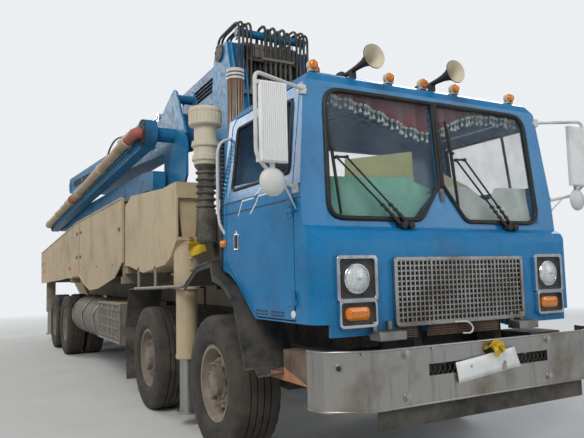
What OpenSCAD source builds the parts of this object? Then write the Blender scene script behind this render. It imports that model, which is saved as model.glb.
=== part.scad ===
/* [Wheels and axles] */
// Distance from the cab's front face to the first steered axle
axle1_y = 1520; // [1450:10:1600]
// Spacing of the two steered axles
axle12 = 1900; // [1800:10:2100]
// Spacing from the second steered axle to the first driven axle
axle23 = 5580; // [5200:10:5900]
// Spacing of the two driven axles
axle34 = 1370; // [1300:5:1450]
// Outer radius of every tyre
tyre_r = 537; // [510:1:550]
// Width of a single front tyre
front_tyre_w = 385; // [315:1:425]
// Width of each tyre of a rear pair
rear_tyre_w = 312; // [280:1:320]
// Centre distance of the two tyres of a rear pair
dual_pitch = 340; // [330:1:350]
// Outside width over the tyres
tyre_track_w = 2500; // [2450:10:2600]
// Seat radius of the rims
rim_r = 285; // [280:1:290]
// Distance of a king pin from the middle of the truck
king_x = 880; // [860:5:900]

/* [Chassis frame] */
// Half distance between the outer faces of the frame rails
rail_x = 400; // [380:5:430]
// Height of a frame rail
rail_h = 280; // [240:5:320]
// Height of the rails' upper face over the ground
frame_z = 1050; // [1000:5:1100]
// Plate thickness of the rails
rail_t = 9; // [6:1:14]
// Distance from the cab's front face to the rear end of the truck
rear_y = 12500; // [12200:10:12900]

/* [Cab] */
// Half width of the cab at its waist
cab_x = 1170; // [1120:5:1200]
// Half width of the cab at its roof
roof_x = 1075; // [1000:5:1100]
// Height of the roof over the ground
roof_z = 2760; // [2650:5:2850]
// Rear wall of the cab
cab_back_y = 1410; // [1350:5:1420]
// Radius of the cab's front corners in the plan view
corner_r = 100; // [60:5:120]
// Wall thickness of the cab and its doors
wall = 38; // [30:1:50]
// Gap around a door
door_gap = 10; // [8:1:14]
// Pivot height of the tilting cab
tilt_z = 1040; // [1020:5:1060]
// Pivot distance behind the cab's front face
tilt_y = 80; // [60:5:120]

/* [Deck and pump] */
// Height of the pump's subframe on the chassis rails
subframe_h = 270; // [200:5:300]
// Half width over the side panels
panel_x = 1250; // [1220:5:1260]
// Sheet thickness of the side panels
panel_t = 8; // [5:1:12]
// Bore radius of each concrete delivery cylinder
delivery_r = 115; // [100:5:125]
// Half width of the hopper at its rim
hopper_x = 705; // [640:5:712]

/* [Turret and boom] */
// Distance of the slewing axis behind the cab's front face
turret_y = 3050; // [3000:10:3100]
// Height of the slewing ring over the ground
ring_z = 2320; // [2250:5:2340]
// Height of the pivot of arm 1
pivot1_z = 3880; // [3850:5:3920]
// Half width of arm 1
arm1_x = 215; // [190:5:225]
// Half gap between the ears of the turret
ear_in_x = 245; // [240:5:260]
// Half width over the ears of the turret
ear_out_x = 500; // [460:5:510]
// Radius of the concrete pipe
pipe_r = 66; // [55:1:70]
// Radius of a pipe coupling
coupling_r = 82; // [76:1:84]

/* [Outriggers] */
// Radius of a front jack's tube
jack_r = 100; // [90:5:110]
// Radius of the ram in a jack
ram_r = 70; // [60:5:80]
// Height of the feet over the ground when the jacks are in
foot_z = 120; // [100:5:200]

/* [Hidden] */
$fn = 48;

front_y = -250;
mid_y = (front_y + rear_y) / 2;
axle_y = [axle1_y, axle1_y + axle12, axle1_y + axle12 + axle23, axle1_y + axle12 + axle23 + axle34];
front_wheel_x = tyre_track_w / 2 - front_tyre_w / 2;
rear_outer_x = tyre_track_w / 2 - rear_tyre_w / 2;
rear_inner_x = rear_outer_x - dual_pitch;
fit = 0.3;
rail_top = frame_z;
rail_bottom = frame_z - rail_h;
deck_z = rail_top + subframe_h;

// Places the truck with its middle over the origin, from lengths counted behind the cab's face
module place() {
    translate([0, -mid_y, 0]) children();
}

module box(x0, x1, y0, y1, z0, z1) {
    translate([x0, y0, z0]) cube([x1 - x0, y1 - y0, z1 - z0]);
}

// A side outline of [y, z] points given a width from x0 to x1
module side_plate(points, x0, x1) {
    translate([x0, 0, 0]) rotate([90, 0, 90]) linear_extrude(x1 - x0) polygon(points);
}

// A front outline of [x, z] points given a length from y0 to y1
module front_plate(points, y0, y1) {
    translate([0, y1, 0]) rotate([90, 0, 0]) linear_extrude(y1 - y0) polygon(points);
}

module rod_x(r, x0, x1, y, z) {
    translate([x0, y, z]) rotate([0, 90, 0]) cylinder(r = r, h = x1 - x0);
}

module rod_y(r, y0, y1, x, z) {
    translate([x, y0, z]) rotate([-90, 0, 0]) cylinder(r = r, h = y1 - y0);
}

module rod_z(r, z0, z1, x, y) {
    translate([x, y, z0]) cylinder(r = r, h = z1 - z0);
}

// A straight round bar between two [x, y, z] points
module bar(a, b, r) {
    d = b - a;
    n = norm(d);
    translate(a)
        rotate([0, acos(d[2] / n), atan2(d[1], d[0])])
        cylinder(r = r, h = n, $fn = 24);
}

function unit(v) = v / norm(v);
function turn(a, b, c) = acos(unit(b - a) * unit(c - b));

// The quarter-round piece that leads a round bar round the corner b, with a bend radius
module elbow(a, b, c, r, bend) {
    angle = turn(a, b, c);
    ey = unit(b - a);
    ex = -unit(unit(c - b) - (unit(c - b) * ey) * ey);
    ez = cross(ex, ey);
    o = b - bend * tan(angle / 2) * ey - bend * ex;
    multmatrix([
        [ex[0], ey[0], ez[0], o[0]], [ex[1], ey[1], ez[1], o[1]],
        [ex[2], ey[2], ez[2], o[2]], [0, 0, 0, 1]
    ]) rotate_extrude(angle = angle, $fn = 64) translate([bend, 0]) circle(r = r, $fn = 24);
}

// A round bar through a list of [x, y, z] points, with a slightly thicker elbow at each of them
elbow_wall = 1;
lap = 3;

module run(points, r, bend) {
    last = len(points) - 2;
    for (i = [0 : last]) {
        d = unit(points[i + 1] - points[i]);
        t0 = i == 0 ? 0 : bend * tan(turn(points[i - 1], points[i], points[i + 1]) / 2) - lap;
        t1 = i == last ? 0 : bend * tan(turn(points[i], points[i + 1], points[i + 2]) / 2) - lap;
        bar(points[i] + t0 * d, points[i + 1] - t1 * d, r);
    }
    for (i = [1 : last]) {
        elbow(points[i - 1], points[i], points[i + 1], r + elbow_wall, bend);
    }
}

module both() {
    children();
    mirror([1, 0, 0]) children();
}

// side: 1 is the truck's left (+X), -1 its right
module on_side(side) {
    mirror([side > 0 ? 0 : 1, 0, 0]) children();
}

// CHASSIS

frame_end_y = axle_y[3] + 780;
cross_y = [300, 2450, 4700, 6300, 7900, axle_y[2] + axle34 / 2, frame_end_y - 70];
spring_half = 720;
under_bar_z = 560;
spring_z = 597;
spring_rise = rail_bottom - 50 - 28 - fit - spring_z;

module chassis_frame() {
    flange = 80;
    color("dimgray") place() {
        both() difference() {
            box(rail_x - flange, rail_x, 200, frame_end_y, rail_bottom, rail_top);
            box(rail_x - flange - 1, rail_x - rail_t, 199, frame_end_y + 1,
                rail_bottom + rail_t, rail_top - rail_t);
        }
        for (y = cross_y) {
            box(rail_t - rail_x, rail_x - rail_t, y - 40, y + 40, rail_bottom + 50, rail_top - rail_t);
        }
        both() tank_brackets();
        both() for (axle = [axle_y[0], axle_y[1]], end = [-1, 1]) {
            y = axle + end * spring_half;
            box(rail_x - 80, rail_x, y - 30, y + 30, rail_bottom - 50, rail_bottom);
        }
        both() {
            box(rail_x - 80, rail_x, frame_end_y - 260, frame_end_y - 60, under_bar_z, rail_bottom);
            box(rail_x - 80, rail_x, frame_end_y - 260, rear_y - 90, under_bar_z, under_bar_z + 100);
        }
        box(-1050, 1050, rear_y - 100, rear_y - 40, under_bar_z - 10, under_bar_z + 110);
        both() cab_pivot();
    }
}

// Brackets that carry the tanks and boxes on the rails: [place along the rail, reach]
tank_reach = 574;
box_reach = 600;
bracket_table = [[5000, box_reach], [5850, box_reach], [6500, tank_reach], [8300, tank_reach]];

module tank_brackets() {
    for (row = bracket_table) {
        box(rail_x, row[1], row[0] - 20, row[0] + 20, 800, 1000);
    }
}

// Lugs at the rails' front ends that hold the cab's pivot pins
module cab_pivot() {
    box(rail_x - 60, rail_x, 30, 210, 800, 1000);
    box(rail_x - 60, rail_x, tilt_y - 50, tilt_y + 50, 990, tilt_z);
    rod_x(50, rail_x - 60, rail_x, tilt_y, tilt_z);
    rod_x(22, rail_x, rail_x + 70, tilt_y, tilt_z);
}

function leaf(y0, half, z0, rise, n, dir = 1) = [
    for (i = [0 : n])
        let(k = dir > 0 ? -1 + 2 * i / n : 1 - 2 * i / n)
        [y0 + half * k, z0 + rise * k * k]
];

module leaf_pack(y, half, z, rise, x) {
    lower = leaf(y, half, z, rise, 12);
    upper = leaf(y, half, z + 28, rise, 12, -1);
    side_plate(concat(lower, upper), x - 40, x + 40);
    short_lower = leaf(y, half * 0.55, z - 26, rise * 0.3, 8);
    short_upper = leaf(y, half * 0.55, z - 1, rise * 0.3, 8, -1);
    side_plate(concat(short_lower, short_upper), x - 40, x + 40);
}

module front_axle(y) {
    front_plate([
        [-king_x, 500], [-700, 500], [-560, 420], [560, 420], [700, 500], [king_x, 500],
        [king_x, 575], [680, 575], [540, 505], [-540, 505], [-680, 575], [-king_x, 575]
    ], y - 50, y + 50);
    both() {
        rod_z(56, 490, 585, king_x, y);
        rod_z(24, 430, 645, king_x, y);
        box(rail_x - 80, rail_x, y - 60, y + 60, 500, spring_z - 25);
        leaf_pack(y, spring_half + 20, spring_z, spring_rise, rail_x - 40);
    }
}

// Half the outline of the drive housing, as [radius, distance from the middle]
housing_r = 205;
housing = [[72, 250], [110, 190], [165, 120], [195, 60], [housing_r, 15]];

module rear_axle(y) {
    half = concat([[0, 900], [48, 900], [48, 700], [72, 680]], housing);
    around_axle(0, y) polygon(concat(half, [for (i = [len(half) - 1 : -1 : 0]) [half[i][0], -half[i][1]]]));
    both() {
        box(rail_x - 80, rail_x, y - 90, y + 90, tyre_r, tyre_r + 124.7);
    }
}

module axles() {
    color("#2b2b2b") place() {
        front_axle(axle_y[0]);
        front_axle(axle_y[1]);
        rear_axle(axle_y[2]);
        rear_axle(axle_y[3]);
        both() leaf_pack((axle_y[2] + axle_y[3]) / 2, axle34 / 2 + 60, tyre_r + 175, -50, rail_x - 40);
        both() box(rail_x - 80, rail_x, (axle_y[2] + axle_y[3]) / 2 - 60,
            (axle_y[2] + axle_y[3]) / 2 + 60, tyre_r + 190, rail_bottom - 0.5);
    }
}

// The engine and gearbox stand in as plain blocks, with the shafts to the driven axles
module engine_gearbox() {
    color("#4a4d50") place() {
        box(-285, 285, 560, 1700, 600, 1210);
        box(-200, 200, 1700, 2380, 640, 980);
        rod_y(55, 2380, axle_y[2] - 175, 0, 700);
        rod_y(50, axle_y[2] + housing_r + fit, axle_y[3] - housing_r - fit, 0, tyre_r + 60);
        both() box(285, rail_x - rail_t, 1000, 1160, 800, 900);
    }
}

// STEERING AND WHEELS

// A steering knuckle: a fork over the axle's eye, a flange and the wheel's spindle
module knuckle(side, y) {
    color("#3a3a3a") place() on_side(side) {
        difference() {
            union() {
                rod_z(48, 432, 489.5, king_x, y);
                rod_z(48, 585.5, 643, king_x, y);
                box(king_x + 10, king_x + 75, y - 48, y + 48, 432, 489.5);
                box(king_x + 10, king_x + 75, y - 48, y + 48, 585.5, 643);
                box(king_x + 62, king_x + 85, y - 60, y + 60, 425, 650);
                rod_x(spindle_r, king_x + 80, 1180, y, tyre_r);
            }
            rod_z(24 + fit, 400, 700, king_x, y);
        }
    }
}

// Tyre cross-section of width w around the rim's seat, as [radius, offset] points
function tyre_section(w, bead_w) = [
    [rim_r + 0.6, -bead_w / 2 + 0.6], [rim_r + 21, -bead_w / 2 + 0.6],
    [rim_r + 44, -bead_w / 2 - 14], [rim_r + 120, -w / 2],
    [tyre_r - 75, -w / 2 + 4], [tyre_r - 22, -w / 2 + 24], [tyre_r, -w / 2 + 52],
    [tyre_r, w / 2 - 52], [tyre_r - 22, w / 2 - 24], [tyre_r - 75, w / 2 - 4],
    [rim_r + 120, w / 2], [rim_r + 44, bead_w / 2 + 14], [rim_r + 21, bead_w / 2 - 0.6],
    [rim_r + 0.6, bead_w / 2 - 0.6],
    [rim_r + 0.6, bead_w / 2 - 26], [rim_r + 60, bead_w / 2 - 10], [rim_r + 120, w / 2 - 20],
    [tyre_r - 60, w / 2 - 30], [tyre_r - 26, w / 2 - 60],
    [tyre_r - 26, -w / 2 + 60], [tyre_r - 60, -w / 2 + 30],
    [rim_r + 120, -w / 2 + 20], [rim_r + 60, -bead_w / 2 + 10], [rim_r + 0.6, -bead_w / 2 + 26]
];

module around_axle(x, y) {
    translate([x, y, tyre_r]) rotate([0, 90, 0]) rotate_extrude($fn = 96) children();
}

module tyre(x, y, w, bead_w) {
    around_axle(x, y) polygon(tyre_section(w, bead_w));
}

// Rim barrel as [radius, offset] points: two flanges, two seats and a drop centre
function barrel_section(bead_w) = [
    [rim_r + 18, -bead_w / 2 - 12], [rim_r + 18, -bead_w / 2], [rim_r, -bead_w / 2],
    [rim_r, -bead_w / 2 + 46], [rim_r - 22, -bead_w / 2 + 80], [rim_r - 22, bead_w / 2 - 60],
    [rim_r, bead_w / 2 - 40], [rim_r, bead_w / 2], [rim_r + 18, bead_w / 2],
    [rim_r + 18, bead_w / 2 + 12], [rim_r - 12, bead_w / 2 + 12], [rim_r - 12, bead_w / 2 - 36],
    [rim_r - 34, bead_w / 2 - 56], [rim_r - 34, -bead_w / 2 + 78], [rim_r - 12, -bead_w / 2 + 42],
    [rim_r - 12, -bead_w / 2 - 12]
];

front_bead_w = front_tyre_w - 92;
rear_bead_w = rear_tyre_w - 82;
hand_holes = 10;
spindle_r = 38;

// A steel disc wheel of one front tyre, with its hub and brake drum
module front_rim(side, y) {
    x = front_wheel_x;
    color("#8f8a80") place() on_side(side) difference() {
        union() {
            around_axle(x, y) polygon(barrel_section(front_bead_w));
            around_axle(x, y) polygon([
                [spindle_r + fit, 62], [120, 62], [165, 92], [215, 100], [rim_r - 30, 60], [rim_r - 30, 76],
                [212, 114], [158, 106], [116, 78], [92, 78], [92, 150], [spindle_r + fit, 150]
            ]);
            around_axle(x, y) polygon([
                [spindle_r + fit, -60], [150, -60], [150, -88], [205, -88], [205, 62], [196, 62],
                [196, -78], [160, -78], [160, -50], [90, -50], [90, 70], [spindle_r + fit, 70]
            ]);
        }
        for (i = [0 : hand_holes - 1]) {
            translate([x + 40, y, tyre_r]) rotate([i * 360 / hand_holes, 0, 0])
                translate([0, 0, 222]) rotate([0, 90, 0]) cylinder(r = 24, h = 100, $fn = 32);
        }
    }
}

// The twin wheels of one end of a driven axle: two tyres on two rims and one hub
module wheel_pair(side, y) {
    bolt_x = (rear_outer_x + rear_inner_x) / 2;
    color("#26282a") place() on_side(side) {
        tyre(rear_outer_x, y, rear_tyre_w, rear_bead_w);
        tyre(rear_inner_x, y, rear_tyre_w, rear_bead_w);
        around_axle(rear_outer_x, y) polygon(barrel_section(rear_bead_w));
        around_axle(rear_inner_x, y) polygon(barrel_section(rear_bead_w));
        around_axle(bolt_x, y) polygon([
            [48 + fit, -180], [215, -180], [215, -20], [rim_r - 30, -62], [rim_r - 6, -62],
            [rim_r - 6, -48], [215, -4], [215, 4], [rim_r - 6, 48], [rim_r - 6, 62],
            [rim_r - 30, 62], [205, 16], [130, 16], [118, 200], [0, 200], [0, 30], [48 + fit, 30]
        ]);
    }
}

// CAB

// Side view outline of the cab, as [y, z] points
function cab_side(inset = 0) = [
    [0 + inset, 1080 + inset], [0 + inset, 1590 - inset], [70 + inset, 1660],
    [125 + inset, 1690], [205 + inset, 2660 - inset], [235 + inset, 2715 - inset],
    [320, roof_z - inset], [1300, roof_z - inset], [cab_back_y - inset, 2660 - inset],
    [cab_back_y - inset, 1430 + inset], [1290, 1400 + inset], [1150, 1330 + inset],
    [830, 1080 + inset]
];

// Front view outline of the cab, as [x, z] points
function cab_cross(inset = 0) = [
    [-cab_x + 20 + inset, 900], [-cab_x + inset, 1100], [-cab_x + inset, waist_z],
    [-roof_x - 20 + inset, 2640], [-roof_x + 50 + inset, 2725 - inset],
    [-roof_x + 140 + inset, roof_z - inset], [roof_x - 140 - inset, roof_z - inset],
    [roof_x - 50 - inset, 2725 - inset], [roof_x + 20 - inset, 2640],
    [cab_x - inset, waist_z], [cab_x - inset, 1100], [cab_x - 20 - inset, 900]
];

// Plan outline of the cab with its rounded front corners, as [x, y] points
function cab_plan(inset) =
    let(r = corner_r - inset, x = cab_x - inset - r, y = inset + r)
    concat(
        [for (k = [0 : 8]) let(a = 180 + k * 11.25) [r * cos(a) - x, y + r * sin(a)]],
        [for (k = [0 : 8]) let(a = 270 + k * 11.25) [x + r * cos(a), y + r * sin(a)]],
        [[x + r, cab_back_y + 5], [-x - r, cab_back_y + 5]]
    );

module cab_block(inset = 0) {
    intersection() {
        linear_extrude_z(cab_plan(inset), 800, roof_z + 40);
        side_plate(cab_side(inset), -cab_x - 5, cab_x + 5);
        front_plate(cab_cross(inset), -5, cab_back_y + 5);
    }
}

// Outline of a door in the side view, pulled in by a margin
door_front_y = 235;
door_back_y = 1340;

function door_outline(m) = [
    [door_front_y + m, 1090 + m], [door_front_y + m, 2560], [door_front_y + 50 + m, 2640 - m],
    [1270 - m, 2640 - m], [door_back_y - 1.8 * m, 2580], [door_back_y - m, 1470 + m],
    [1250, 1420 + m], [800, 1090 + m]
];

function window_outline(m) = [
    [door_front_y + 55 + m, 2040 + m], [door_front_y + 75 + m, 2555 - m], [1235 - m, 2555 - m],
    [1255 - m, 2080 + m]
];

tunnel_x = 330;
tunnel_z = 1300;

module cab_hollow() {
    difference() {
        cab_block();
        difference() {
            cab_block(wall);
            box(-tunnel_x - 30, tunnel_x + 30, 300, cab_back_y, 900, tunnel_z + 30);
        }
        box(-tunnel_x, tunnel_x, 330, cab_back_y + 10, 900, tunnel_z);
    }
}

// Windshield opening in the front view
shield_low_z = 1735;
shield_high_z = 2620;
shield_x = 985;
divider_x = 10;
notch_x = 210;
notch_h = 270;

module windshield_cut(m) {
    both() front_plate([
        [divider_x + m, shield_low_z + notch_h + 0.35 * m],
        [divider_x + notch_x + 0.5 * m, shield_low_z + m], [shield_x - m, shield_low_z + m],
        [shield_x - 35 - m, shield_high_z - m], [divider_x + m, shield_high_z - m]
    ], -50, 260);
}

// Seats for the two cab pivot pins
module pivot_ears() {
    both() difference() {
        union() {
            rod_x(38, rail_x + 4, rail_x + 60, tilt_y, tilt_z);
            box(rail_x + 4, rail_x + 60, tilt_y - 38, tilt_y + 38, tilt_z, 1100);
        }
        rod_x(22 + fit, rail_x - 1, rail_x + 80, tilt_y, tilt_z);
    }
}

// Door hinges: barrels on the cab around a pin that the door's own barrels turn on
hinge_x = cab_x + 14;
hinge_y = door_front_y - 6;
hinge_z = [1190, 1780];

module door_pins() {
    both() for (z = hinge_z) {
        rod_z(6, z, z + 90, hinge_x, hinge_y);
        rod_z(12, z, z + 40, hinge_x, hinge_y);
        box(cab_x - 20, hinge_x, hinge_y - 22, hinge_y - 4, z, z + 40);
    }
}

module door_barrels() {
    for (z = hinge_z) {
        difference() {
            union() {
                rod_z(12, z + 40 + fit, z + 84, hinge_x, hinge_y);
                box(cab_x - 20, hinge_x, hinge_y + 16, hinge_y + 60, z + 40 + fit, z + 84);
                box(hinge_x - 6, hinge_x + 6, hinge_y, hinge_y + 60, z + 40 + fit, z + 84);
            }
            rod_z(6 + fit, z, z + 100, hinge_x, hinge_y);
        }
    }
}

// The space of a door, pulled in by a margin: one wall deep below the waist, deeper above it
waist_z = 1960;

module door_zone(m) {
    side_plate(door_outline(m), cab_x - wall, cab_x + 10);
    intersection() {
        side_plate(door_outline(m), cab_x - 150, cab_x + 10);
        box(0, cab_x + 20, 0, cab_back_y, waist_z - 10, roof_z);
    }
}

module cab_shell() {
    color("#1273c4") place() {
        difference() {
            cab_hollow();
            both() door_zone(0);
            windshield_cut(0);
            both() rod_x(62, rail_x - 68, rail_x + 3, tilt_y, tilt_z);
            front_plate([[-560, 2060], [560, 2060], [540, 2480], [-540, 2480]],
                cab_back_y - wall - 5, cab_back_y + 5);
        }
        pivot_ears();
        door_pins();
        box(-rail_x + 68, rail_x - 68, 0, 30, 1000, 1081);
        both() box(rail_x + 3, cab_x - corner_r - 10, 0, 30, 1000, 1081);
    }
}

module cab_door(side) {
    color("#1273c4") place() on_side(side) {
        door_barrels();
        intersection() {
            difference() {
                cab_block();
                cab_block(wall);
            }
            difference() {
                door_zone(door_gap);
                side_plate(window_outline(0), cab_x - 150, cab_x + 20);
            }
        }
    }
}

// The grille in its frame and the double lamp bezels on the lower front
bezel_in = 724;
bezel_out = 1029;
bezel_low = 1044;
bezel_high = 1497;

module cab_front() {
    color("#b9bcbf") place() {
        both() difference() {
            box(bezel_in, bezel_out, -32, -fit, bezel_low, bezel_high);
            box(bezel_in + 26, bezel_out - 26, -40, 10, 1240, bezel_high - 26);
            box(bezel_in + 26, bezel_out - 26, -40, 10, bezel_low + 24, 1205);
        }
        difference() {
            box(-592, 592, -30, -fit, 1038, 1484);
            for (i = [0 : 3]) {
                box(-560 + i * 284, -560 + i * 284 + 268, -40, 10, 1210, 1452);
            }
            box(-560, 560, -40, 10, 1068, 1180);
        }
        for (i = [0 : 3], k = [1 : 5]) {
            box(-560 + i * 284, -560 + i * 284 + 268, -22, -14, 1210 + k * 40 - 3, 1210 + k * 40 + 3);
        }
        for (i = [0 : 3], k = [1 : 5]) {
            x = -560 + i * 284 + k * 44.6;
            box(x - 3, x + 3, -22, -14, 1210, 1452);
        }
        both() rod_y(88, -24, -fit, (bezel_in + bezel_out) / 2, 1352);
        both() box(bezel_in + 40, bezel_out - 40, -20, -fit, bezel_low + 40, 1190);
    }
}

// Two flat panes that meet at the centre divider
module windshield() {
    color([0.6, 0.75, 0.8, 0.4]) place() intersection() {
        windshield_cut(1);
        side_plate([[128.6, 1690], [208.6, 2660], [222.6, 2660], [142.6, 1690]], -shield_x, shield_x);
    }
}

module seat(x) {
    side_plate([[760, 1480], [760, 1560], [1180, 1560], [1290, 2150], [1350, 2150], [1290, 1480]],
        x - 230, x + 230);
}

seat_x = 620;

// The wheel's rim, hub and three spokes, tilted towards the driver
module steering_wheel() {
    translate([seat_x, 525, 1784]) rotate([30, 0, 0]) {
        rotate_extrude($fn = 64) translate([215, 0]) circle(r = 15, $fn = 24);
        translate([0, 0, -30]) cylinder(r = 48, h = 40);
        for (a = [0, 120, 240]) {
            rotate([0, 0, a]) translate([30, -14, -6]) cube([180, 28, 12]);
        }
    }
}

module cab_interior() {
    color("#3c3f44") place() {
        both() seat(seat_x);
        both() side_plate([
            [860, 1141.8], [1150, 1368.3], [1290, 1438.3], [1290, 1481], [860, 1481]
        ], 430, 810);
        box(-cab_x + wall + fit, cab_x - wall - fit, 167, 222, 1440, 1688);
        box(-1100, 1100, 222, 420, 1440, 1700);
        bar([seat_x, 400, 1570], [seat_x, 517, 1770], 28);
        steering_wheel();
    }
}

// A mirror head on a bent tube frame at each front corner of the cab
module mirrors() {
    x = cab_x + 215;
    color("#e9ebea") place() both() {
        difference() {
            run([
                [cab_x - 120, 210, 2560], [x - 95, 60, 2560], [x - 95, 60, 1850], [cab_x - 60, 180, 1850]
            ], 14, 60);
            cab_block(-fit);
        }
        box(x - 90, x + 90, 30, 72, 2060, 2540);
        rod_y(88, 38, 72, x, 1940);
        box(x - 100, x + 10, 55, 65, 1960, 1980);
    }
}

// Marker lamps and horns on the roof, and the wipers on the cowl
lamp_x = [-620, -310, 0, 310, 620];
wiper_x = [480, 540];

module cab_fittings() {
    color("#d98a1e") place() {
        for (x = lamp_x) {
            rod_y(38, 300, 350, x, roof_z + 40);
            box(x - 30, x + 30, 305, 345, roof_z + fit, roof_z + 12);
        }
        both() {
            rod_y(18, 180, 380, 430, roof_z + 66);
            translate([430, 181, roof_z + 66]) rotate([90, 0, 0]) cylinder(r1 = 18, r2 = 60, h = 110);
            box(410, 450, 330, 380, roof_z + fit, roof_z + 50);
            for (x = wiper_x) {
                rod_y(12, 106, 125, x, 1710);
            }
            intersection() {
                side_plate([[105, 1650], [105, 1690], [189, 2660], [197, 2660], [113, 1690], [113, 1650]], 0, 1000);
                union() {
                    for (x = wiper_x) {
                        front_plate([
                            [x - 9, 1698], [x + 9, 1698], [x - 211, 2160], [x - 229, 2160]
                        ], 0, 300);
                    }
                    front_plate([[250, 1800], [262, 1800], [262, 2520], [250, 2520]], 0, 300);
                    front_plate([[240, 2140], [wiper_x[1] - 200, 2140], [wiper_x[1] - 200, 2160], [240, 2160]], 0, 300);
                }
            }
        }
    }
}

// Arched plates over the two steered axles, with the strip behind the second wheel
fender_in = 850;
fender_out = 1250;

module fenders() {
    color("#c3a778") place() both() {
        difference() {
            side_plate([
                [1470, 1500], [1810, 1460], [2140, 1300], [3880, 1255], [4110, 1250], [4290, 800],
                [4220, 200], [4228, 200], [4300, 800], [4118, 1260], [3880, 1265], [2143, 1310],
                [1815, 1470], [1470, 1510]
            ], fender_in, fender_out);
            box(960, fender_out + 1, 2300, 2660, 1200, 1400);
        }
        side_plate([
            [450, 740], [640, 700], [690, 750], [850, 720], [1060, 1210], [1060, 1226],
            [842, 736], [690, 765], [640, 712], [450, 752]
        ], fender_in, fender_out);
        side_plate([[120, 700], [640, 700], [640, 745], [450, 785], [450, 900], [120, 900]],
            cab_x - 350, cab_x - 20);
        for (y = [2300, 3850]) {
            rod_x(18, rail_x, fender_in + 30, y, 1275 - (y - 2300) / 150);
        }
        rod_x(18, rail_x, cab_x - 300, 400, 850);
        rod_x(18, rail_x, fender_in + 30, 660, 760);
        rod_x(18, rail_x, fender_in + 30, 1620, 1495);
        box(rail_x, rail_x + 12, 1600, 1640, 900, 1505);
        box(rail_x, rail_x + 12, 380, 420, 800, 870);
        box(rail_x, rail_x + 12, 640, 680, 742, 1000);
        for (y = [2300, 3850]) {
            box(rail_x, rail_x + 12, y - 20, y + 20, 1000, 1285);
        }
    }
}

bellows_pitch = 62;

module air_cleaner() {
    color("#e3dcc0") place() {
        x = -1035;
        y = 2130;
        translate([x, y, 0]) rotate_extrude() polygon(concat(
            [[0, 1700], [90, 1700], [90, 2000]],
            [for (k = [0 : 5]) each [
                [74, 2010 + k * bellows_pitch], [94, 2024 + k * bellows_pitch],
                [94, 2036 + k * bellows_pitch], [74, 2050 + k * bellows_pitch]
            ]],
            [
                [104, 2400], [112, 2440], [122, 2450], [122, 2500], [110, 2510], [110, 2570],
                [126, 2580], [126, 2630], [104, 2640], [104, 2770], [150, 2782], [150, 2925],
                [138, 2950], [60, 2960], [0, 2960]
            ]
        ));
        box(x + 60, x + 120, y - 20, y + 20, 1480, 1960);
        box(x, -rail_x, y - 20, y + 20, 1440, 1480);
        box(-rail_x - 12, -rail_x, y - 20, y + 20, 900, 1480);
    }
}

module exhaust_stack() {
    color("#8b4a2f") place() {
        x = -800;
        y = 1950;
        difference() {
            rod_z(78, 1900, 3300, x, y);
            rod_z(66, 2400, 3310, x, y);
        }
        rod_z(120, 1520, 1900, x, y);
        box(x, -rail_x, y - 20, y + 20, 1560, 1600);
        box(-rail_x - 12, -rail_x, y - 20, y + 20, 900, 1600);
    }
}

tank_r = 310;
tank_x = 890;
tank_y0 = 6150;
tank_y1 = 8400;

module fuel_tank() {
    color("#4b4a45") place() {
        rod_y(tank_r, tank_y0, tank_y1, -tank_x, 760);
        for (y = [6500, 8300]) {
            rod_y(tank_r + 8, y - 30, y + 30, -tank_x, 760);
        }
        rod_z(45, 1040, 1090, -tank_x, 7000);
    }
}

// The ribbed tool box, the air tanks and the battery box
module side_boxes() {
    color("#55534c") place() {
        box(-1200, -box_reach, 4750, 6080, 550, 1060);
        for (k = [0 : 3]) {
            box(-1212, -1200, 4800, 6030, 600 + k * 120, 640 + k * 120);
        }
        box(box_reach, 1200, 4750, 5600, 550, 1060);
        rod_y(130, 5750, 6900, 740, 860);
        rod_y(130, 5750, 6900, 1040, 860);
        box(box_reach, 1040, 5840, 5860, 700, 1000);
        box(tank_reach, 1040, 6490, 6510, 700, 1000);
        box(tank_reach, 1200, 7300, 8400, 550, 1060);
    }
}

// BUMPER

bumper_x = 1220;

module front_bumper() {
    color("#b4b7ba") place() difference() {
        union() {
            linear_extrude_z([
                [-bumper_x, 30], [-bumper_x + 30, -110], [-bumper_x + 190, -205], [-900, front_y],
                [900, front_y], [bumper_x - 190, -205], [bumper_x - 30, -110], [bumper_x, 30],
                [bumper_x - 12, 30], [bumper_x - 42, -100], [bumper_x - 194, -193],
                [898, front_y + 12], [-898, front_y + 12], [-bumper_x + 194, -193],
                [-bumper_x + 42, -100], [-bumper_x + 12, 30]
            ], 600, 935);
            both() box(rail_x - 60, rail_x - 10, front_y + 10, 30 - fit, 810, 900);
        }
        for (x = [-330, 330]) {
            front_plate([[x - 200, 760], [x + 200, 760], [x + 200, 830], [x - 200, 830]], -300, -200);
        }
        translate([0, -300, 880]) rotate([-90, 0, 0]) linear_extrude(100) hull() {
            translate([-50, 0]) circle(r = 25);
            translate([50, 0]) circle(r = 25);
        }
    }
}

module linear_extrude_z(points, z0, z1) {
    translate([0, 0, z0]) linear_extrude(z1 - z0) polygon(points);
}

module lower_valance() {
    color("#2f3133") place() {
        front_plate([[-900, 480], [900, 480], [900, 599], [-900, 599]], front_y + 20, front_y + 32);
        both() box(rail_x - 70, rail_x - 10, front_y + 32, 120, 560, 600);
        both() box(rail_x - 70, rail_x - 10, 120, 200 - fit, 560, 780);
    }
}

// DECK, PANELS AND PUMP

cross_beam_y = [4500, 5900, 7300, axle_y[2] - 700, axle_y[3] + 700];
rear_beam_y = cross_beam_y[4];

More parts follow.
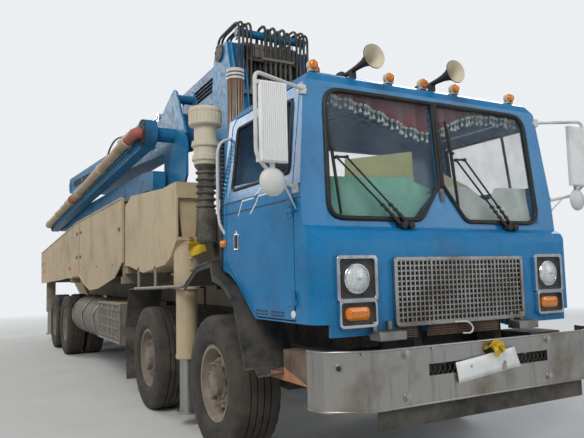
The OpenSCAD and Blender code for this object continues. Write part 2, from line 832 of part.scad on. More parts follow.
module subframe_deck() {
    color("#8d8673") place() {
        both() box(rail_x - 80, rail_x, 2350, frame_end_y, frame_z, deck_z);
        for (y = cross_beam_y) {
            box(-panel_x + panel_t + fit, panel_x - panel_t - fit, y - 50, y + 50, deck_z, deck_z + 80);
        }
        both() {
            box(rail_x + 60, panel_x - panel_t - 60, cross_beam_y[0], rear_beam_y, deck_z + 80, deck_z + 86);
            box(905, 985, rear_beam_y, rear_jack[1], deck_z, deck_z + 80);
            box(985, panel_x - panel_t - fit, 11960, 12040, deck_z, deck_z + 80);
        }
        box(-rail_x, rail_x, turret_y - 560, turret_y + 560, deck_z, deck_z + 40);
        pedestal();
        rod_z(500, ring_z - 60, ring_z - 0.3, 0, turret_y);
        both() {
            rod_z(45, 1440, 2300, out_hinge[0], out_hinge[1]);
            box(out_hinge[0] - 70, out_hinge[0] + 70, 4280, 4460, 1440, 1520);
            box(out_hinge[0] - 200, out_hinge[0] + 70, 4450, 4550, deck_z + 80, 2300);
            box(out_hinge[0] - 70, out_hinge[0] + 70, 4280, 4550, 2270, 2300);
            difference() {
                rod_z(jack_r, 640, deck_z + 80, rear_jack[0], rear_jack[1]);
                rod_z(ram_r + fit, 600, deck_z + 60, rear_jack[0], rear_jack[1]);
            }
            box(520, 1130, 5000, 6700, deck_z + 86, 2150);
        }
    }
}

// The pedestal under the slewing ring: a square foot that narrows to a round head
module pedestal() {
    hull() {
        box(-rail_x, rail_x, turret_y - 560, turret_y + 560, deck_z + 40, deck_z + 41);
        rod_z(470, ring_z - 61, ring_z - 60, 0, turret_y);
    }
}

rear_jack = [1070, 12200];

panel_line = [
    [4470, 2380], [7690, 2340], [rear_y, 2020], [rear_y - 80, 1310], [9550, 1380], [7450, 1450],
    [6900, 1290], [6500, 1220], [5900, 1250], [4840, 1400], [4470, 1580]
];

module side_panels() {
    color("#cdb488") place() both() {
        side_plate(panel_line, panel_x - panel_t, panel_x);
        side_plate([
            [4570, 2371], [7690, 2332], [rear_y - 40, 2015], [rear_y - 40, 2007], [7690, 2324], [4570, 2363]
        ], panel_x - 180, panel_x - panel_t);
        for (k = [1 : 4]) {
            y = cross_beam_y[k];
            box(panel_x - 60, panel_x - panel_t, y - 20, y + 20, deck_z + 90, 2000);
        }
        box(out_hinge[0] + 75, panel_x, 4462, 4470, 1580, 2380);
    }
}

cylinder_x = 190;

module pump_unit() {
    color("#9a9384") place() {
        both() {
            rod_y(delivery_r, 8800, 11100, cylinder_x, deck_z + 230);
            rod_y(80, 7000, 8401, cylinder_x, deck_z + 230);
            rod_y(104, 6960, 7060, cylinder_x, deck_z + 230);
        }
        box(-360, 360, 8400, 8800, deck_z + 110, deck_z + 400);
        box(-360, 360, 11060, frame_end_y, deck_z + 80 + fit, deck_z + 380);
        both() box(120, 260, 7260, 7340, deck_z + 80 + fit, deck_z + 200);
        both() box(100, 300, axle_y[2] - 740, axle_y[2] - 660, deck_z + 80 + fit, deck_z + 200);
    }
}

// The hopper: a tapered bowl open at the top, with the outlet at the rear
hopper_y0 = frame_end_y + fit;
hopper_y1 = rear_y - 120;
hopper_top = 1700;
grate_axis = [hopper_y0 + 45, hopper_top + 36];

module bowl(inset, z1) {
    hull() {
        box(-hopper_x + inset, hopper_x - inset, hopper_y0 + inset, hopper_y1 - inset, z1 - 20, z1);
        box(-380 + inset, 380 - inset, hopper_y0 + inset, hopper_y1 - 260, 900 + inset, 920);
    }
}

module hopper() {
    color("#c9ae7e") place() {
        difference() {
            union() {
                bowl(0, hopper_top);
                box(-hopper_x - 40, hopper_x + 40, hopper_y0, hopper_y1 + 40, hopper_top - 12, hopper_top);
            }
            bowl(10, hopper_top + 1);
        }
        rod_y(90, hopper_y1 - 250, rear_y - 60, 0, 990);
        box(-140, 140, hopper_y0 + 300, hopper_y1 - 320, 820, 901);
        both() box(hopper_x + 12, hopper_x + 30, grate_axis[0] - 20, grate_axis[0] + 20,
            hopper_top - 1, grate_axis[1] + 18);
        rod_x(10, -hopper_x - 12, hopper_x + 12, grate_axis[0], grate_axis[1]);
    }
}

grate_bars = 12;

module hopper_grate() {
    half = hopper_x - 8;
    y0 = grate_axis[0] + 40;
    y1 = hopper_y1 + 4;
    z = hopper_top + fit;
    color("#7d776a") place() {
        for (k = [0 : grate_bars]) {
            x = -half + 4 + k * (2 * half - 20) / grate_bars;
            box(x, x + 12, y0, y1, z, z + 40);
        }
        for (k = [0 : 3]) {
            y = y0 + k * (y1 - y0 - 12) / 3;
            box(-half, half, y, y + 12, z, z + 40);
        }
        both() difference() {
            union() {
                rod_x(18, half - 60, half, grate_axis[0], grate_axis[1]);
                box(half - 60, half, grate_axis[0], y0 + 1, grate_axis[1] - 12, z + 40);
            }
            rod_x(10 + fit, half - 61, half + 1, grate_axis[0], grate_axis[1]);
        }
    }
}

// TURRET AND BOOM

p1 = [turret_y, pivot1_z];
p2 = [12000, 3600];
p3 = [4150, 3150];
p4 = [12050, 2650];
arm2_in = 440;
arm2_out = 690;
arm4_in = 745;
arm4_out = 905;
arm3_in = 935;
arm3_out = 1085;
arm_foot_z = 2500;

turret_head_z = 3450;

// The y place of the turret's sloping front face at a height
function turret_front(z) = turret_y - 430 + 100 * (z - ring_z - 70) / (turret_head_z - ring_z - 70);

module turret() {
    color("#1b86c6") place() {
        rod_z(520, ring_z, ring_z + 70, 0, turret_y);
        side_plate([
            [turret_y - 430, ring_z + 70], [turret_y - 330, turret_head_z], [turret_y - 190, turret_head_z],
            [turret_y - 190, ring_z + 70]
        ], -ear_out_x, ear_out_x);
        both() {
            side_plate([
                [turret_y - 430, ring_z + 70], [turret_y - 330, turret_head_z], [turret_y - 200, 3950],
                [turret_y + 120, 3990], [turret_y + 190, 3800], [turret_y + 420, ring_z + 70]
            ], ear_in_x, ear_out_x);
        }
        rod_x(60, -ear_out_x - 12, ear_out_x + 12, p1[0], p1[1]);
        both() box(150, ear_in_x, turret_y + 230, turret_y + 400, ring_z + 70, ring_z + 330);
        rod_x(45, -200, 200, luff_base[0], luff_base[1]);
        run([
            [ear_out_x - 20, turret_y, riser_low_z], [riser_x, turret_y, riser_low_z],
            [riser_x, p1[0], p1[1]], [riser_x + riser_reach, p1[0], p1[1]]
        ], pipe_r, pipe_bend);
        for (z = [riser_low_z + 250, riser_low_z + 700]) {
            rod_z(coupling_r, z, z + 60, riser_x, turret_y);
            box(ear_out_x - 5, riser_x, turret_y - 30, turret_y + 30, z + 5, z + 55);
        }
    }
}

// The delivery pipe: its bends, its riser beside the turret and its places beside the arms
pipe_bend = 80;
riser_x = ear_out_x + coupling_r + 8;
riser_low_z = 2620;
riser_reach = 105;
pipe1_x = riser_x + riser_reach + fit + 85;
pipe1_near_x = arm1_x + coupling_r + 33;

// A point beside an arm: x, and the share t of the way from pin a to pin b
function beside(x, a, b, t) = [x, a[0] + (b[0] - a[0]) * t, a[1] + (b[1] - a[1]) * t];

// Clamps round a pipe, with a bracket that reaches the arm's side at x_arm
module pipe_clamps(x, x_arm, a, b, shares) {
    for (t = shares) {
        c = beside(x, a, b, t);
        bar(c, beside(x, a, b, t + 0.008), coupling_r);
        box(min(x, x_arm), max(x, x_arm), c[1] + 15, c[1] + 55, c[2] - 45, c[2] + 35);
    }
}

luff_base = [turret_y + 320, ring_z + 240];
luff_eye = [turret_y + 1850, 3440];
lug_in = 112;
luff_len = norm(luff_eye - luff_base);
luff_dir = unit(luff_eye - luff_base);

function to3(x, p) = [x, p[0], p[1]];

module luff_barrel() {
    color("#1b86c6") place() difference() {
        union() {
            bar(to3(0, luff_base + 60 * luff_dir), to3(0, luff_base + (luff_len - 110) * luff_dir), 105);
            rod_x(90, -135, 135, luff_base[0], luff_base[1]);
        }
        rod_x(45 + fit, -140, 140, luff_base[0], luff_base[1]);
        bar(to3(0, luff_base + 110 * luff_dir), to3(0, luff_base + (luff_len - 100) * luff_dir), 70 + fit);
    }
}

module luff_rod() {
    color("#c8c8c8") place() {
        bar(to3(0, luff_base + 120 * luff_dir), to3(0, luff_base + (luff_len - 60) * luff_dir), 70);
        rod_x(80, -90, 90, luff_eye[0], luff_eye[1]);
        rod_x(45, -lug_in + 6, lug_in - 6, luff_eye[0], luff_eye[1]);
    }
}

// Pressure lines that run over the turret from the front of the column to arm 1
module turret_hoses() {
    color("#1d1d1f") place() {
        for (k = [0 : 5]) {
            x = -150 + k * 60;
            run([
                [x, turret_y - 450, 2700], [x, turret_y - 450, 4109], [x, turret_y - 238, 4109],
                [x, turret_y - 238, 3800]
            ], 16, 100);
        }
        side_plate([
            [turret_y - 470, 2650], [turret_front(2650) - fit, 2650],
            [turret_front(2710) - fit, 2710], [turret_y - 470, 2710]
        ], -190, 190);
        box(fit - ear_in_x, ear_in_x - fit, turret_y - 262, turret_y - 214, 3760, 3810);
    }
}

module arm_1() {
    color("#1b86c6") place() {
        difference() {
            union() {
                side_plate([
                    [p1[0] - 60, p1[1] + 150], [p1[0] + 500, p1[1] + 190], [p2[0] - 300, p2[1] + 160],
                    [p2[0], p2[1] + 170], [p2[0] + 60, p2[1] - 160], [p2[0] - 600, p2[1] - 180],
                    [p1[0] + 4000, p1[1] - 450], [p1[0] + 2300, p1[1] - 390], [p1[0] + 1500, p1[1] - 330],
                    [p1[0] + 500, p1[1] - 240], [p1[0] + 60, p1[1] - 160]
                ], -arm1_x, arm1_x);
                both() side_plate([
                    [luff_eye[0] - 450, p1[1] - 300], [luff_eye[0] - 140, luff_eye[1] - 90],
                    [luff_eye[0], luff_eye[1] - 130], [luff_eye[0] + 140, luff_eye[1] - 90],
                    [luff_eye[0] + 500, p1[1] - 380]
                ], lug_in, lug_in + 45);
                rod_x(170, -arm1_x, arm1_x, p1[0], p1[1]);
                rod_x(170, -arm1_x, arm1_x, p2[0], p2[1]);
            }
            rod_x(60 + fit, -arm1_x - 1, arm1_x + 1, p1[0], p1[1]);
            box(-lug_in, lug_in, luff_eye[0] - 650, luff_eye[0] + 260, 3200, luff_eye[1] + 240);
        }
        both() rod_x(75, lug_in + 44, lug_in + 70, luff_eye[0], luff_eye[1]);
        run([
            [pipe1_x - 85, p1[0], p1[1]], [pipe1_x, p1[0], p1[1]], beside(pipe1_x, p1, p2, 0.07),
            beside(pipe1_near_x, p1, p2, 0.16), [pipe1_near_x, p2[0], p2[1]], [arm1_x - 5, p2[0], p2[1]]
        ], pipe_r, pipe_bend);
        rod_x(coupling_r, pipe1_x - 85, pipe1_x - 45, p1[0], p1[1]);
        pipe_clamps(pipe1_near_x, arm1_x - 5, p1, p2, [0.2, 0.4, 0.6, 0.8, 0.95]);
        rod_x(60, -arm2_out - 15, -arm1_x, p2[0], p2[1]);
        rod_x(62, -arm2_in + 12, -arm1_x, p2[0], p2[1]);
        barrel(cyl2, 70, 45);
        for (t = [100, 1300]) {
            box(cyl2[2] + 50, -arm1_x, cyl2[0][0] + t, cyl2[0][0] + t + 90, p2[1] - 40, p2[1] + 60);
        }
    }
}

// Cylinders that lie along arms 1, 2 and 3: [foot of the barrel, rod eye, x place, barrel length]
cyl2 = [[p2[0] - 3000, p2[1] + 30], [p2[0] - 960, p2[1] + 20], -305, 1500];
cyl3 = [[p3[0] + 3300, p3[1] + 585], [p3[0] + 1000, p3[1] + 485], -(arm2_in + arm2_out) / 2, 1500];
cyl4 = [[p4[0] - 3000, p4[1] + 420], [p4[0] - 1000, p4[1] + 315], -(arm3_in + arm3_out) / 2, 1400];

function along(c) = unit(c[1] - c[0]);

// Height of a cylinder's middle line at a place y
function line_z(c, y) = c[0][1] + (y - c[0][0]) * (c[1][1] - c[0][1]) / (c[1][0] - c[0][0]);

module barrel(c, r, bore) {
    d = along(c);
    difference() {
        bar(to3(c[2], c[0]), to3(c[2], c[0] + c[3] * d), r);
        bar(to3(c[2], c[0] + 100 * d), to3(c[2], c[0] + (c[3] + 1) * d), bore + fit);
    }
}

module cylinder_rod(c, r) {
    d = along(c);
    bar(to3(c[2], c[0] + 130 * d), to3(c[2], c[1]), r);
    rod_x(r + 18, c[2] - 28, c[2] + 28, c[1][0], c[1][1]);
}

module rod_2() {
    color("#c8c8c8") place() cylinder_rod(cyl2, 45);
}

module arm_2() {
    color("#1b86c6") place() {
        difference() {
            union() {
                side_plate([
                    [p3[0] - 60, p3[1] - 175], [p3[0] + 900, p3[1] - 130], [p2[0] - 100, p2[1] - 175],
                    [p2[0] + 40, p2[1] + 175], [p3[0] + 600, p3[1] + 340], [p3[0] + 200, p3[1] + 360],
                    [p3[0] - 120, p3[1] + 150]
                ], -arm2_out, -arm2_in);
                rod_x(180, -arm2_out, -arm2_in, p3[0], p3[1]);
                rod_x(178, -arm2_out, -arm2_in, p2[0], p2[1]);
            }
            rod_x(60 + fit, -arm2_out - 1, -arm2_in + 1, p2[0], p2[1]);
        }
        for (x = [-arm2_out, -arm2_in - 24]) {
            side_plate([
                [p3[0] - 480, p3[1] - 60], [p3[0] - 120, p3[1] + 540], [p3[0] - 40, p3[1] + 585],
                [p3[0] + 60, p3[1] + 560], [p3[0] + 600, p3[1] + 330], [p3[0] + 600, p3[1]]
            ], x, x + 24);
        }
        rod_x(55, -arm2_out, -arm2_in, p3[0] - 40, p3[1] + 470);
        rod_x(90, -arm3_out + 28, -arm2_out, p3[0], p3[1]);
        side_plate([
            [p3[0] - 400, p3[1] + 60], [p3[0] - 480, p3[1] - 200], [p3[0] - 480, p3[1] - 560], [p3[0] - 380, p3[1] - 680],
            [p3[0] + 300, p3[1] - 680], [p3[0] + 380, p3[1] - 560], [p3[0] + 380, p3[1] + 60]
        ], -arm2_out, -arm2_out + 30);
        box(-arm4_out - 10, -arm2_out, p3[0] + 150, p3[0] + 300, p3[1] - 680, arm_foot_z);
        barrel(cyl3, 65, 40);
        for (t = [1950, 3150]) {
            box(cyl3[2] - 35, cyl3[2] + 35, p3[0] + t, p3[0] + t + 80, p3[1] + 200, line_z(cyl3, p3[0] + t) - 50);
        }
    }
}

module rod_3() {
    color("#c8c8c8") place() cylinder_rod(cyl3, 40);
}

module arm_3() {
    color("#1b86c6") place() {
        difference() {
            union() {
                side_plate([
                    [p3[0], p3[1] - 170], [p4[0] - 300, p4[1] - 110], [p4[0], p4[1] - 140],
                    [p4[0], p4[1] + 140], [p4[0] - 300, p4[1] + 160], [p3[0] + 1400, p3[1] + 70],
                    [p3[0], p3[1] + 165]
                ], -arm3_out, -arm3_in);
                rod_x(170, -arm3_out, -arm3_in, p3[0], p3[1]);
                rod_x(140, -arm3_out, -arm3_in, p4[0], p4[1]);
            }
            rod_x(90 + fit, -arm3_out + 25, -arm3_in + 1, p3[0], p3[1]);
        }
        rod_x(50, -arm3_in, -arm4_in + 12, p4[0], p4[1]);
        barrel(cyl4, 50, 30);
        for (t = [2900, 1700]) {
            box(cyl4[2] - 20, cyl4[2] + 20, p4[0] - t, p4[0] - t + 60, p4[1] + 100, line_z(cyl4, p4[0] - t) - 38);
        }
    }
}

module rod_4() {
    color("#c8c8c8") place() cylinder_rod(cyl4, 30);
}

module arm_4() {
    color("#1b86c6") place() difference() {
        union() {
            side_plate([
                [p3[0] + 160, arm_foot_z + fit], [p4[0], p4[1] - 130], [p4[0], p4[1] + 130],
                [p3[0] + 600, 2760], [p3[0] + 160, 2720]
            ], -arm4_out, -arm4_in);
            rod_x(130, -arm4_out, -arm4_in, p4[0], p4[1]);
        }
        rod_x(50 + fit, -arm4_out - 1, -arm4_in + 1, p4[0], p4[1]);
    }
}

pipe3_x = arm3_out + coupling_r + 1;

module concrete_pipe_3() {
    color("#cfae7a") place() {
        a = [-pipe3_x, p3[0], p3[1]] + ([0, p4[0] - p3[0], p4[1] - p3[1]]) * 0.03;
        b = [-pipe3_x, p4[0], p4[1]];
        run([
            [-arm3_out - fit, p3[0], p3[1]], [-pipe3_x, p3[0], p3[1]], b,
            [-arm3_out - fit, p4[0], p4[1]]
        ], pipe_r, pipe_bend);
        for (t = [0.02, 0.5, 0.55, 0.96]) {
            bar(a + (b - a) * t, a + (b - a) * (t + 0.012), coupling_r);
        }
    }
}

// OUTRIGGERS

out_x = panel_x;
out_tip_y = 2340;
out_hinge = [1150, 4340];

module front_outrigger(side) {
    color("#cdb488") place() on_side(side) difference() {
        union() {
            side_plate([
                [out_tip_y, 1730], [out_tip_y, 2280], [2530, 2280], [2750, 2270], [4020, 2350],
                [4270, 2260], [4270, 1530], [4160, 1530], [3500, 1440], [2700, 1510], [2540, 1570]
            ], 960, out_x);
            rod_z(90, 1530, 2260, out_hinge[0], out_hinge[1]);
            rod_z(jack_r + 20, 1270, 1740, 1110, 2470);
            rod_z(jack_r, 620, 1280, 1110, 2470);
        }
        rod_z(45 + fit, 1500, 2400, out_hinge[0], out_hinge[1]);
        rod_z(ram_r + fit, 600, 1600, 1110, 2470);
        box(990, out_x - 18, out_tip_y - 1, out_tip_y + 220, 1760, 2130);
    }
    color("#cdb488") place() on_side(side) front_plate([
        [1012, 2130.5], [out_x - 26, 2130.5], [1180, 1759.5], [1050, 1759.5]
    ], out_tip_y + 40, out_tip_y + 52);
}

module jack(x, y, z_top) {
    rod_z(ram_r, foot_z + 20, z_top, x, y);
    rod_z(jack_r, foot_z, foot_z + 24, x, y);
}

module front_jack(side) {
    color("#b0b3b5") place() on_side(side) jack(1110, 2470, 1590);
}

module rear_jack_ram(side) {
    color("#b0b3b5") place() on_side(side) jack(rear_jack[0], rear_jack[1], deck_z + 40);
}

module front_tyre(side, y) {
    color("#1b1b1c") place() on_side(side) tyre(front_wheel_x, y, front_tyre_w, front_bead_w);
}

chassis_frame();
axles();
engine_gearbox();
front_bumper();
lower_valance();
cab_shell();
cab_front();
windshield();
cab_interior();
mirrors();
cab_fittings();
cab_door(1);  // door_left
cab_door(-1);  // door_right
fenders();
air_cleaner();
exhaust_stack();
fuel_tank();
side_boxes();
subframe_deck();
side_panels();
pump_unit();
hopper();
hopper_grate();
turret();
turret_hoses();
luff_barrel();
luff_rod();
arm_1();
arm_2();
arm_3();
arm_4();
concrete_pipe_3();
rod_2();
rod_3();
rod_4();
front_outrigger(1);  // front_outrigger_left
front_outrigger(-1);  // front_outrigger_right
front_jack(1);  // front_jack_left
front_jack(-1);  // front_jack_right
rear_jack_ram(1);  // rear_jack_left
rear_jack_ram(-1);  // rear_jack_right
knuckle(1, axle_y[0]);  // knuckle_left_1
knuckle(-1, axle_y[0]);  // knuckle_right_1
knuckle(1, axle_y[1]);  // knuckle_left_2
knuckle(-1, axle_y[1]);  // knuckle_right_2
front_tyre(1, axle_y[0]);  // tyre_left_1
front_tyre(-1, axle_y[0]);  // tyre_right_1
front_tyre(1, axle_y[1]);  // tyre_left_2
front_tyre(-1, axle_y[1]);  // tyre_right_2
front_rim(1, axle_y[0]);  // rim_left_1
front_rim(-1, axle_y[0]);  // rim_right_1
front_rim(1, axle_y[1]);  // rim_left_2
front_rim(-1, axle_y[1]);  // rim_right_2
wheel_pair(1, axle_y[2]);  // wheel_pair_left_3
wheel_pair(-1, axle_y[2]);  // wheel_pair_right_3
wheel_pair(1, axle_y[3]);  // wheel_pair_left_4
wheel_pair(-1, axle_y[3]);  // wheel_pair_right_4
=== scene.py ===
# %% [markdown]
# # A concrete pump truck around a measured frame
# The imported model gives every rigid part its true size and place. This script
# adds what the eye looks for on the real machine: tread, seals, lamps, hoses,
# mesh, cloth and worn paint. The camera and the light come first, so that every
# later step can be judged in the same view.

# %% load the frame and note its box
import math

import bmesh
import bpy
from mathutils import Matrix, Vector


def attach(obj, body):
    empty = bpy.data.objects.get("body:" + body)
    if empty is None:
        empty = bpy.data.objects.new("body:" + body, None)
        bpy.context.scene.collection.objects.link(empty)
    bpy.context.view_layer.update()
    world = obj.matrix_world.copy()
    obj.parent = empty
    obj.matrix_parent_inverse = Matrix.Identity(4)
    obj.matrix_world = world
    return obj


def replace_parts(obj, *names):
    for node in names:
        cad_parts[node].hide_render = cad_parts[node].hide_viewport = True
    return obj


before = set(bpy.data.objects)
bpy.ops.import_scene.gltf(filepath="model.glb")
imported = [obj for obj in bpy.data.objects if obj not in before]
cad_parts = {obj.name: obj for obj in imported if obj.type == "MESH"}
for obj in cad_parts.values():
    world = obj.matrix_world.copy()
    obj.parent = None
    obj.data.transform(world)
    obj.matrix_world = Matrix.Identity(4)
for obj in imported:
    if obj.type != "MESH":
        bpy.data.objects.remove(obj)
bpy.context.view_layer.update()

# %% [markdown]
# The truck's lengths are counted from the cab's front face, which is handy on a
# drawing. The frame counts from the middle of the whole truck instead, so one
# helper turns the first kind of point into the second.

# %% truck places and the frame's places
MIDDLE = 6.125


def spot(x, y, z):
    """A point counted behind the cab's face, as a point of the frame."""
    return Vector((x, y - MIDDLE, z))


# %% [markdown]
# The camera stands in front of the truck's right corner at eye height, tilted up
# a little. Its turn is written as the three axes of the lens: right, up and back.

# %% camera
CAMERA_PLACE = (-3.0405, -3.1128, 1.3913)
YAW, PITCH, ROLL = (math.radians(a) for a in (29.026, 5.165, -1.330))
FOCAL_PIXELS = 605.98
FRAME_WIDTH = 584
SENSOR_WIDTH = 36

ahead = Vector((math.sin(YAW) * math.cos(PITCH), math.cos(YAW) * math.cos(PITCH), math.sin(PITCH)))
right = Vector((math.cos(YAW), -math.sin(YAW), 0))
upward = right.cross(ahead)
tilted_right = math.cos(ROLL) * right + math.sin(ROLL) * upward
tilted_up = -math.sin(ROLL) * right + math.cos(ROLL) * upward

camera_data = bpy.data.cameras.new("camera")
camera = bpy.data.objects.new("camera", camera_data)
bpy.context.scene.collection.objects.link(camera)
camera_data.sensor_width = SENSOR_WIDTH
camera_data.lens = SENSOR_WIDTH * FOCAL_PIXELS / FRAME_WIDTH
camera_data.clip_end = 200
turn = Matrix((tilted_right, tilted_up, -ahead)).transposed()
camera.matrix_world = Matrix.Translation(spot(*CAMERA_PLACE)) @ turn.to_4x4()
bpy.context.scene.camera = camera
print("lens", round(camera_data.lens, 2), "mm")

# %% [markdown]
# A studio needs a world that the lens sees as nearly white, and soft lamps; its
# floor is laid at the end. The world's strength for the lens is kept apart from its
# strength for the object, so that the background is bright and the paint keeps its
# colour.

# %% world and lamps
SEEN_SKY = (0.84, 0.865, 0.89, 1)
LIT_SKY = (0.74, 0.82, 0.92, 1)
LIT_STRENGTH = 0.42
scene = bpy.context.scene
scene.view_settings.view_transform = "Standard"


def wire(tree, out, into):
    tree.links.new(out, into)


def node(tree, kind, **settings):
    """A new shader node with its settings, such as its operation."""
    made = tree.nodes.new(kind)
    for key, value in settings.items():
        setattr(made, key, value)
    return made


def sky(tree, colour, strength):
    made = node(tree, "ShaderNodeBackground")
    made.inputs["Color"].default_value = colour
    made.inputs["Strength"].default_value = strength
    return made.outputs[0]


def make_world():
    scene.world = bpy.data.worlds.new("studio")
    scene.world.use_nodes = True
    tree = scene.world.node_tree
    tree.nodes.clear()
    paths = node(tree, "ShaderNodeLightPath")
    either = node(tree, "ShaderNodeMath", operation="MAXIMUM")
    wire(tree, paths.outputs["Is Camera Ray"], either.inputs[0])
    wire(tree, paths.outputs["Is Transmission Ray"], either.inputs[1])
    mixer = node(tree, "ShaderNodeMixShader")
    wire(tree, either.outputs[0], mixer.inputs[0])
    wire(tree, sky(tree, LIT_SKY, LIT_STRENGTH), mixer.inputs[1])
    wire(tree, sky(tree, SEEN_SKY, 1.0), mixer.inputs[2])
    wire(tree, mixer.outputs[0], node(tree, "ShaderNodeOutputWorld").inputs["Surface"])


make_world()


def lamp(name, place, target, size, power, color):
    data = bpy.data.lights.new(name, "AREA")
    data.size = size
    data.energy = power
    data.color = color
    thing = bpy.data.objects.new(name, data)
    scene.collection.objects.link(thing)
    thing.location = spot(*place)
    aim = spot(*target) - thing.location
    thing.rotation_euler = aim.to_track_quat("-Z", "Y").to_euler()


lamp("key", (-9, -6, 11), (0, 3, 1.5), 6, 1150, (1.0, 0.97, 0.92))
lamp("fill", (8, -9, 6), (0, 2, 1.5), 7, 330, (0.9, 0.95, 1.0))
lamp("rear", (-6, 17, 9), (0, 9, 2), 7, 620, (1.0, 0.97, 0.93))
lamp("left_side", (10, 8, 8), (0, 6, 2), 7, 520, (0.95, 0.97, 1.0))
print("lamps", len(bpy.data.lights))

# %% [markdown]
# Every finish is built from noise, because real paint is never one flat colour.
# A finish mixes its own colour with a darker stain and with pale dust, and the dust
# grows thicker near the ground. Small noise lifts the surface for grain.

# %% helpers for finishes
def noise(tree, where, scale, detail=4, rough=0.55, stretch=None):
    made = node(tree, "ShaderNodeTexNoise")
    made.inputs["Scale"].default_value = scale
    made.inputs["Detail"].default_value = detail
    made.inputs["Roughness"].default_value = rough
    source = where
    if stretch:
        mapping = node(tree, "ShaderNodeMapping")
        mapping.inputs["Scale"].default_value = stretch
        wire(tree, where, mapping.inputs["Vector"])
        source = mapping.outputs[0]
    wire(tree, source, made.inputs["Vector"])
    return made.outputs["Fac"]


def curve(tree, value, low, high, to_low=0.0, to_high=1.0):
    made = node(tree, "ShaderNodeMapRange", clamp=True)
    wire(tree, value, made.inputs["Value"])
    made.inputs["From Min"].default_value = low
    made.inputs["From Max"].default_value = high
    made.inputs["To Min"].default_value = to_low
    made.inputs["To Max"].default_value = to_high
    return made.outputs["Result"]


def blend_colour(tree, amount, first, second):
    """Mix two colours; each is a plain colour or another node's output."""
    made = node(tree, "ShaderNodeMix", data_type="RGBA")
    wire(tree, amount, made.inputs["Factor"])
    for index, colour in ((6, first), (7, second)):
        if isinstance(colour, tuple):
            made.inputs[index].default_value = (*colour, 1)
        else:
            wire(tree, colour, made.inputs[index])
    return made.outputs[2]


def multiply(tree, first, second):
    made = node(tree, "ShaderNodeMath", operation="MULTIPLY")
    wire(tree, first, made.inputs[0])
    wire(tree, second, made.inputs[1])
    return made.outputs[0]


def settle(shader, **values):
    """Give plain values to a shader's inputs; an underscore stands for a space."""
    for name, value in values.items():
        shader.inputs[name.replace("_", " ")].default_value = value


def blank_finish(name):
    made = bpy.data.materials.new(name)
    made.use_nodes = True
    tree = made.node_tree
    where = node(tree, "ShaderNodeTexCoord").outputs["Object"]
    return made, tree, tree.nodes["Principled BSDF"], where


def bump(tree, shader, height, strength, distance=0.002):
    made = node(tree, "ShaderNodeBump")
    made.inputs["Strength"].default_value = strength
    made.inputs["Distance"].default_value = distance
    wire(tree, height, made.inputs["Height"])
    wire(tree, made.outputs["Normal"], shader.inputs["Normal"])


DUST = (0.46, 0.40, 0.31)
DUST_REACH = (0.35, 0.8)
DUST_LEAST = 0.06


def worn_finish(name, colour, stain, metal=0.0, rough=(0.35, 0.6), stain_reach=(0.55, 0.75), dust_most=0.6,
                low=0.3, high=1.6, grain=0.12, grain_scale=220, streak=0.0, coat=0.0):
    """Paint or bare metal with stains, streaks and dust that thickens near the ground."""
    made, tree, shader, where = blank_finish(name)
    base = blend_colour(tree, curve(tree, noise(tree, where, 2.2, 6, 0.6), *stain_reach), colour, stain)
    if streak:
        runs = noise(tree, where, 3.0, 4, 0.6, (9, 9, 0.7))
        base = blend_colour(tree, curve(tree, runs, 0.56, 0.75, 0, streak), base, stain)
    cloud = curve(tree, noise(tree, where, 5.0, 8, 0.65), *DUST_REACH)
    apart = node(tree, "ShaderNodeSeparateXYZ")
    wire(tree, where, apart.inputs[0])
    near_ground = curve(tree, apart.outputs["Z"], low, high, dust_most, DUST_LEAST)
    dusty = blend_colour(tree, multiply(tree, cloud, near_ground), base, DUST)
    wire(tree, dusty, shader.inputs["Base Color"])
    wire(tree, curve(tree, noise(tree, where, 14, 5), 0.3, 0.7, *rough), shader.inputs["Roughness"])
    settle(shader, Metallic=metal, Coat_Weight=coat, Coat_Roughness=0.15, Specular_IOR_Level=0.35)
    bump(tree, shader, noise(tree, where, grain_scale, 3), grain)
    return made


# %% [markdown]
# The finishes of this truck: a glossy blue cab, a duller blue boom, sandy painted
# panels, bare and chromed metal, rubber, rust and glass. Each has its own stain.

# %% the finishes
BLUE = worn_finish("cab_blue", (0.0, 0.185, 0.43), (0.0, 0.10, 0.25), rough=(0.2, 0.34),
                   dust_most=0.12, coat=0.22, grain=0.03, stain_reach=(0.45, 0.8), streak=0.25)
BOOM = worn_finish("boom_blue", (0.0, 0.175, 0.38), (0.015, 0.055, 0.10), rough=(0.34, 0.55),
                   stain_reach=(0.5, 0.72), dust_most=0.16, low=2.0, high=5.0, grain=0.08, streak=0.55)
# A lighter copy of the boom's blue: a painted highlight, used on the raised ribs of the outer arm.
RIB_HIGHLIGHT_BLUE = worn_finish("painted_highlight_blue", (0.05, 0.34, 0.52), (0.03, 0.16, 0.26), rough=(0.3, 0.5))
TAN = worn_finish("sand_paint", (0.55, 0.44, 0.28), (0.36, 0.28, 0.18), rough=(0.5, 0.75),
                  stain_reach=(0.48, 0.8), dust_most=0.4, grain=0.08, streak=0.35)
PIPE = worn_finish("pipe_sand", (0.50, 0.37, 0.24), (0.20, 0.12, 0.08), rough=(0.5, 0.75),
                   stain_reach=(0.5, 0.72), low=2, high=5)
RED = worn_finish("red_elbow", (0.42, 0.09, 0.06), (0.45, 0.28, 0.2), rough=(0.45, 0.7), low=2, high=5)
CREAM = worn_finish("cream_paint", (0.62, 0.56, 0.43), (0.32, 0.26, 0.18), rough=(0.5, 0.75), streak=0.4)
RUST = worn_finish("rusty_pipe", (0.16, 0.065, 0.035), (0.06, 0.03, 0.02), rough=(0.7, 0.9),
                   stain_reach=(0.42, 0.62), grain=0.5)
FRAME_PAINT = worn_finish("frame_black", (0.022, 0.021, 0.020), (0.05, 0.038, 0.028), rough=(0.55, 0.8),
                          dust_most=0.28)
DECK = worn_finish("worn_deck", (0.26, 0.22, 0.16), (0.10, 0.08, 0.06), rough=(0.6, 0.85), grain=0.3)
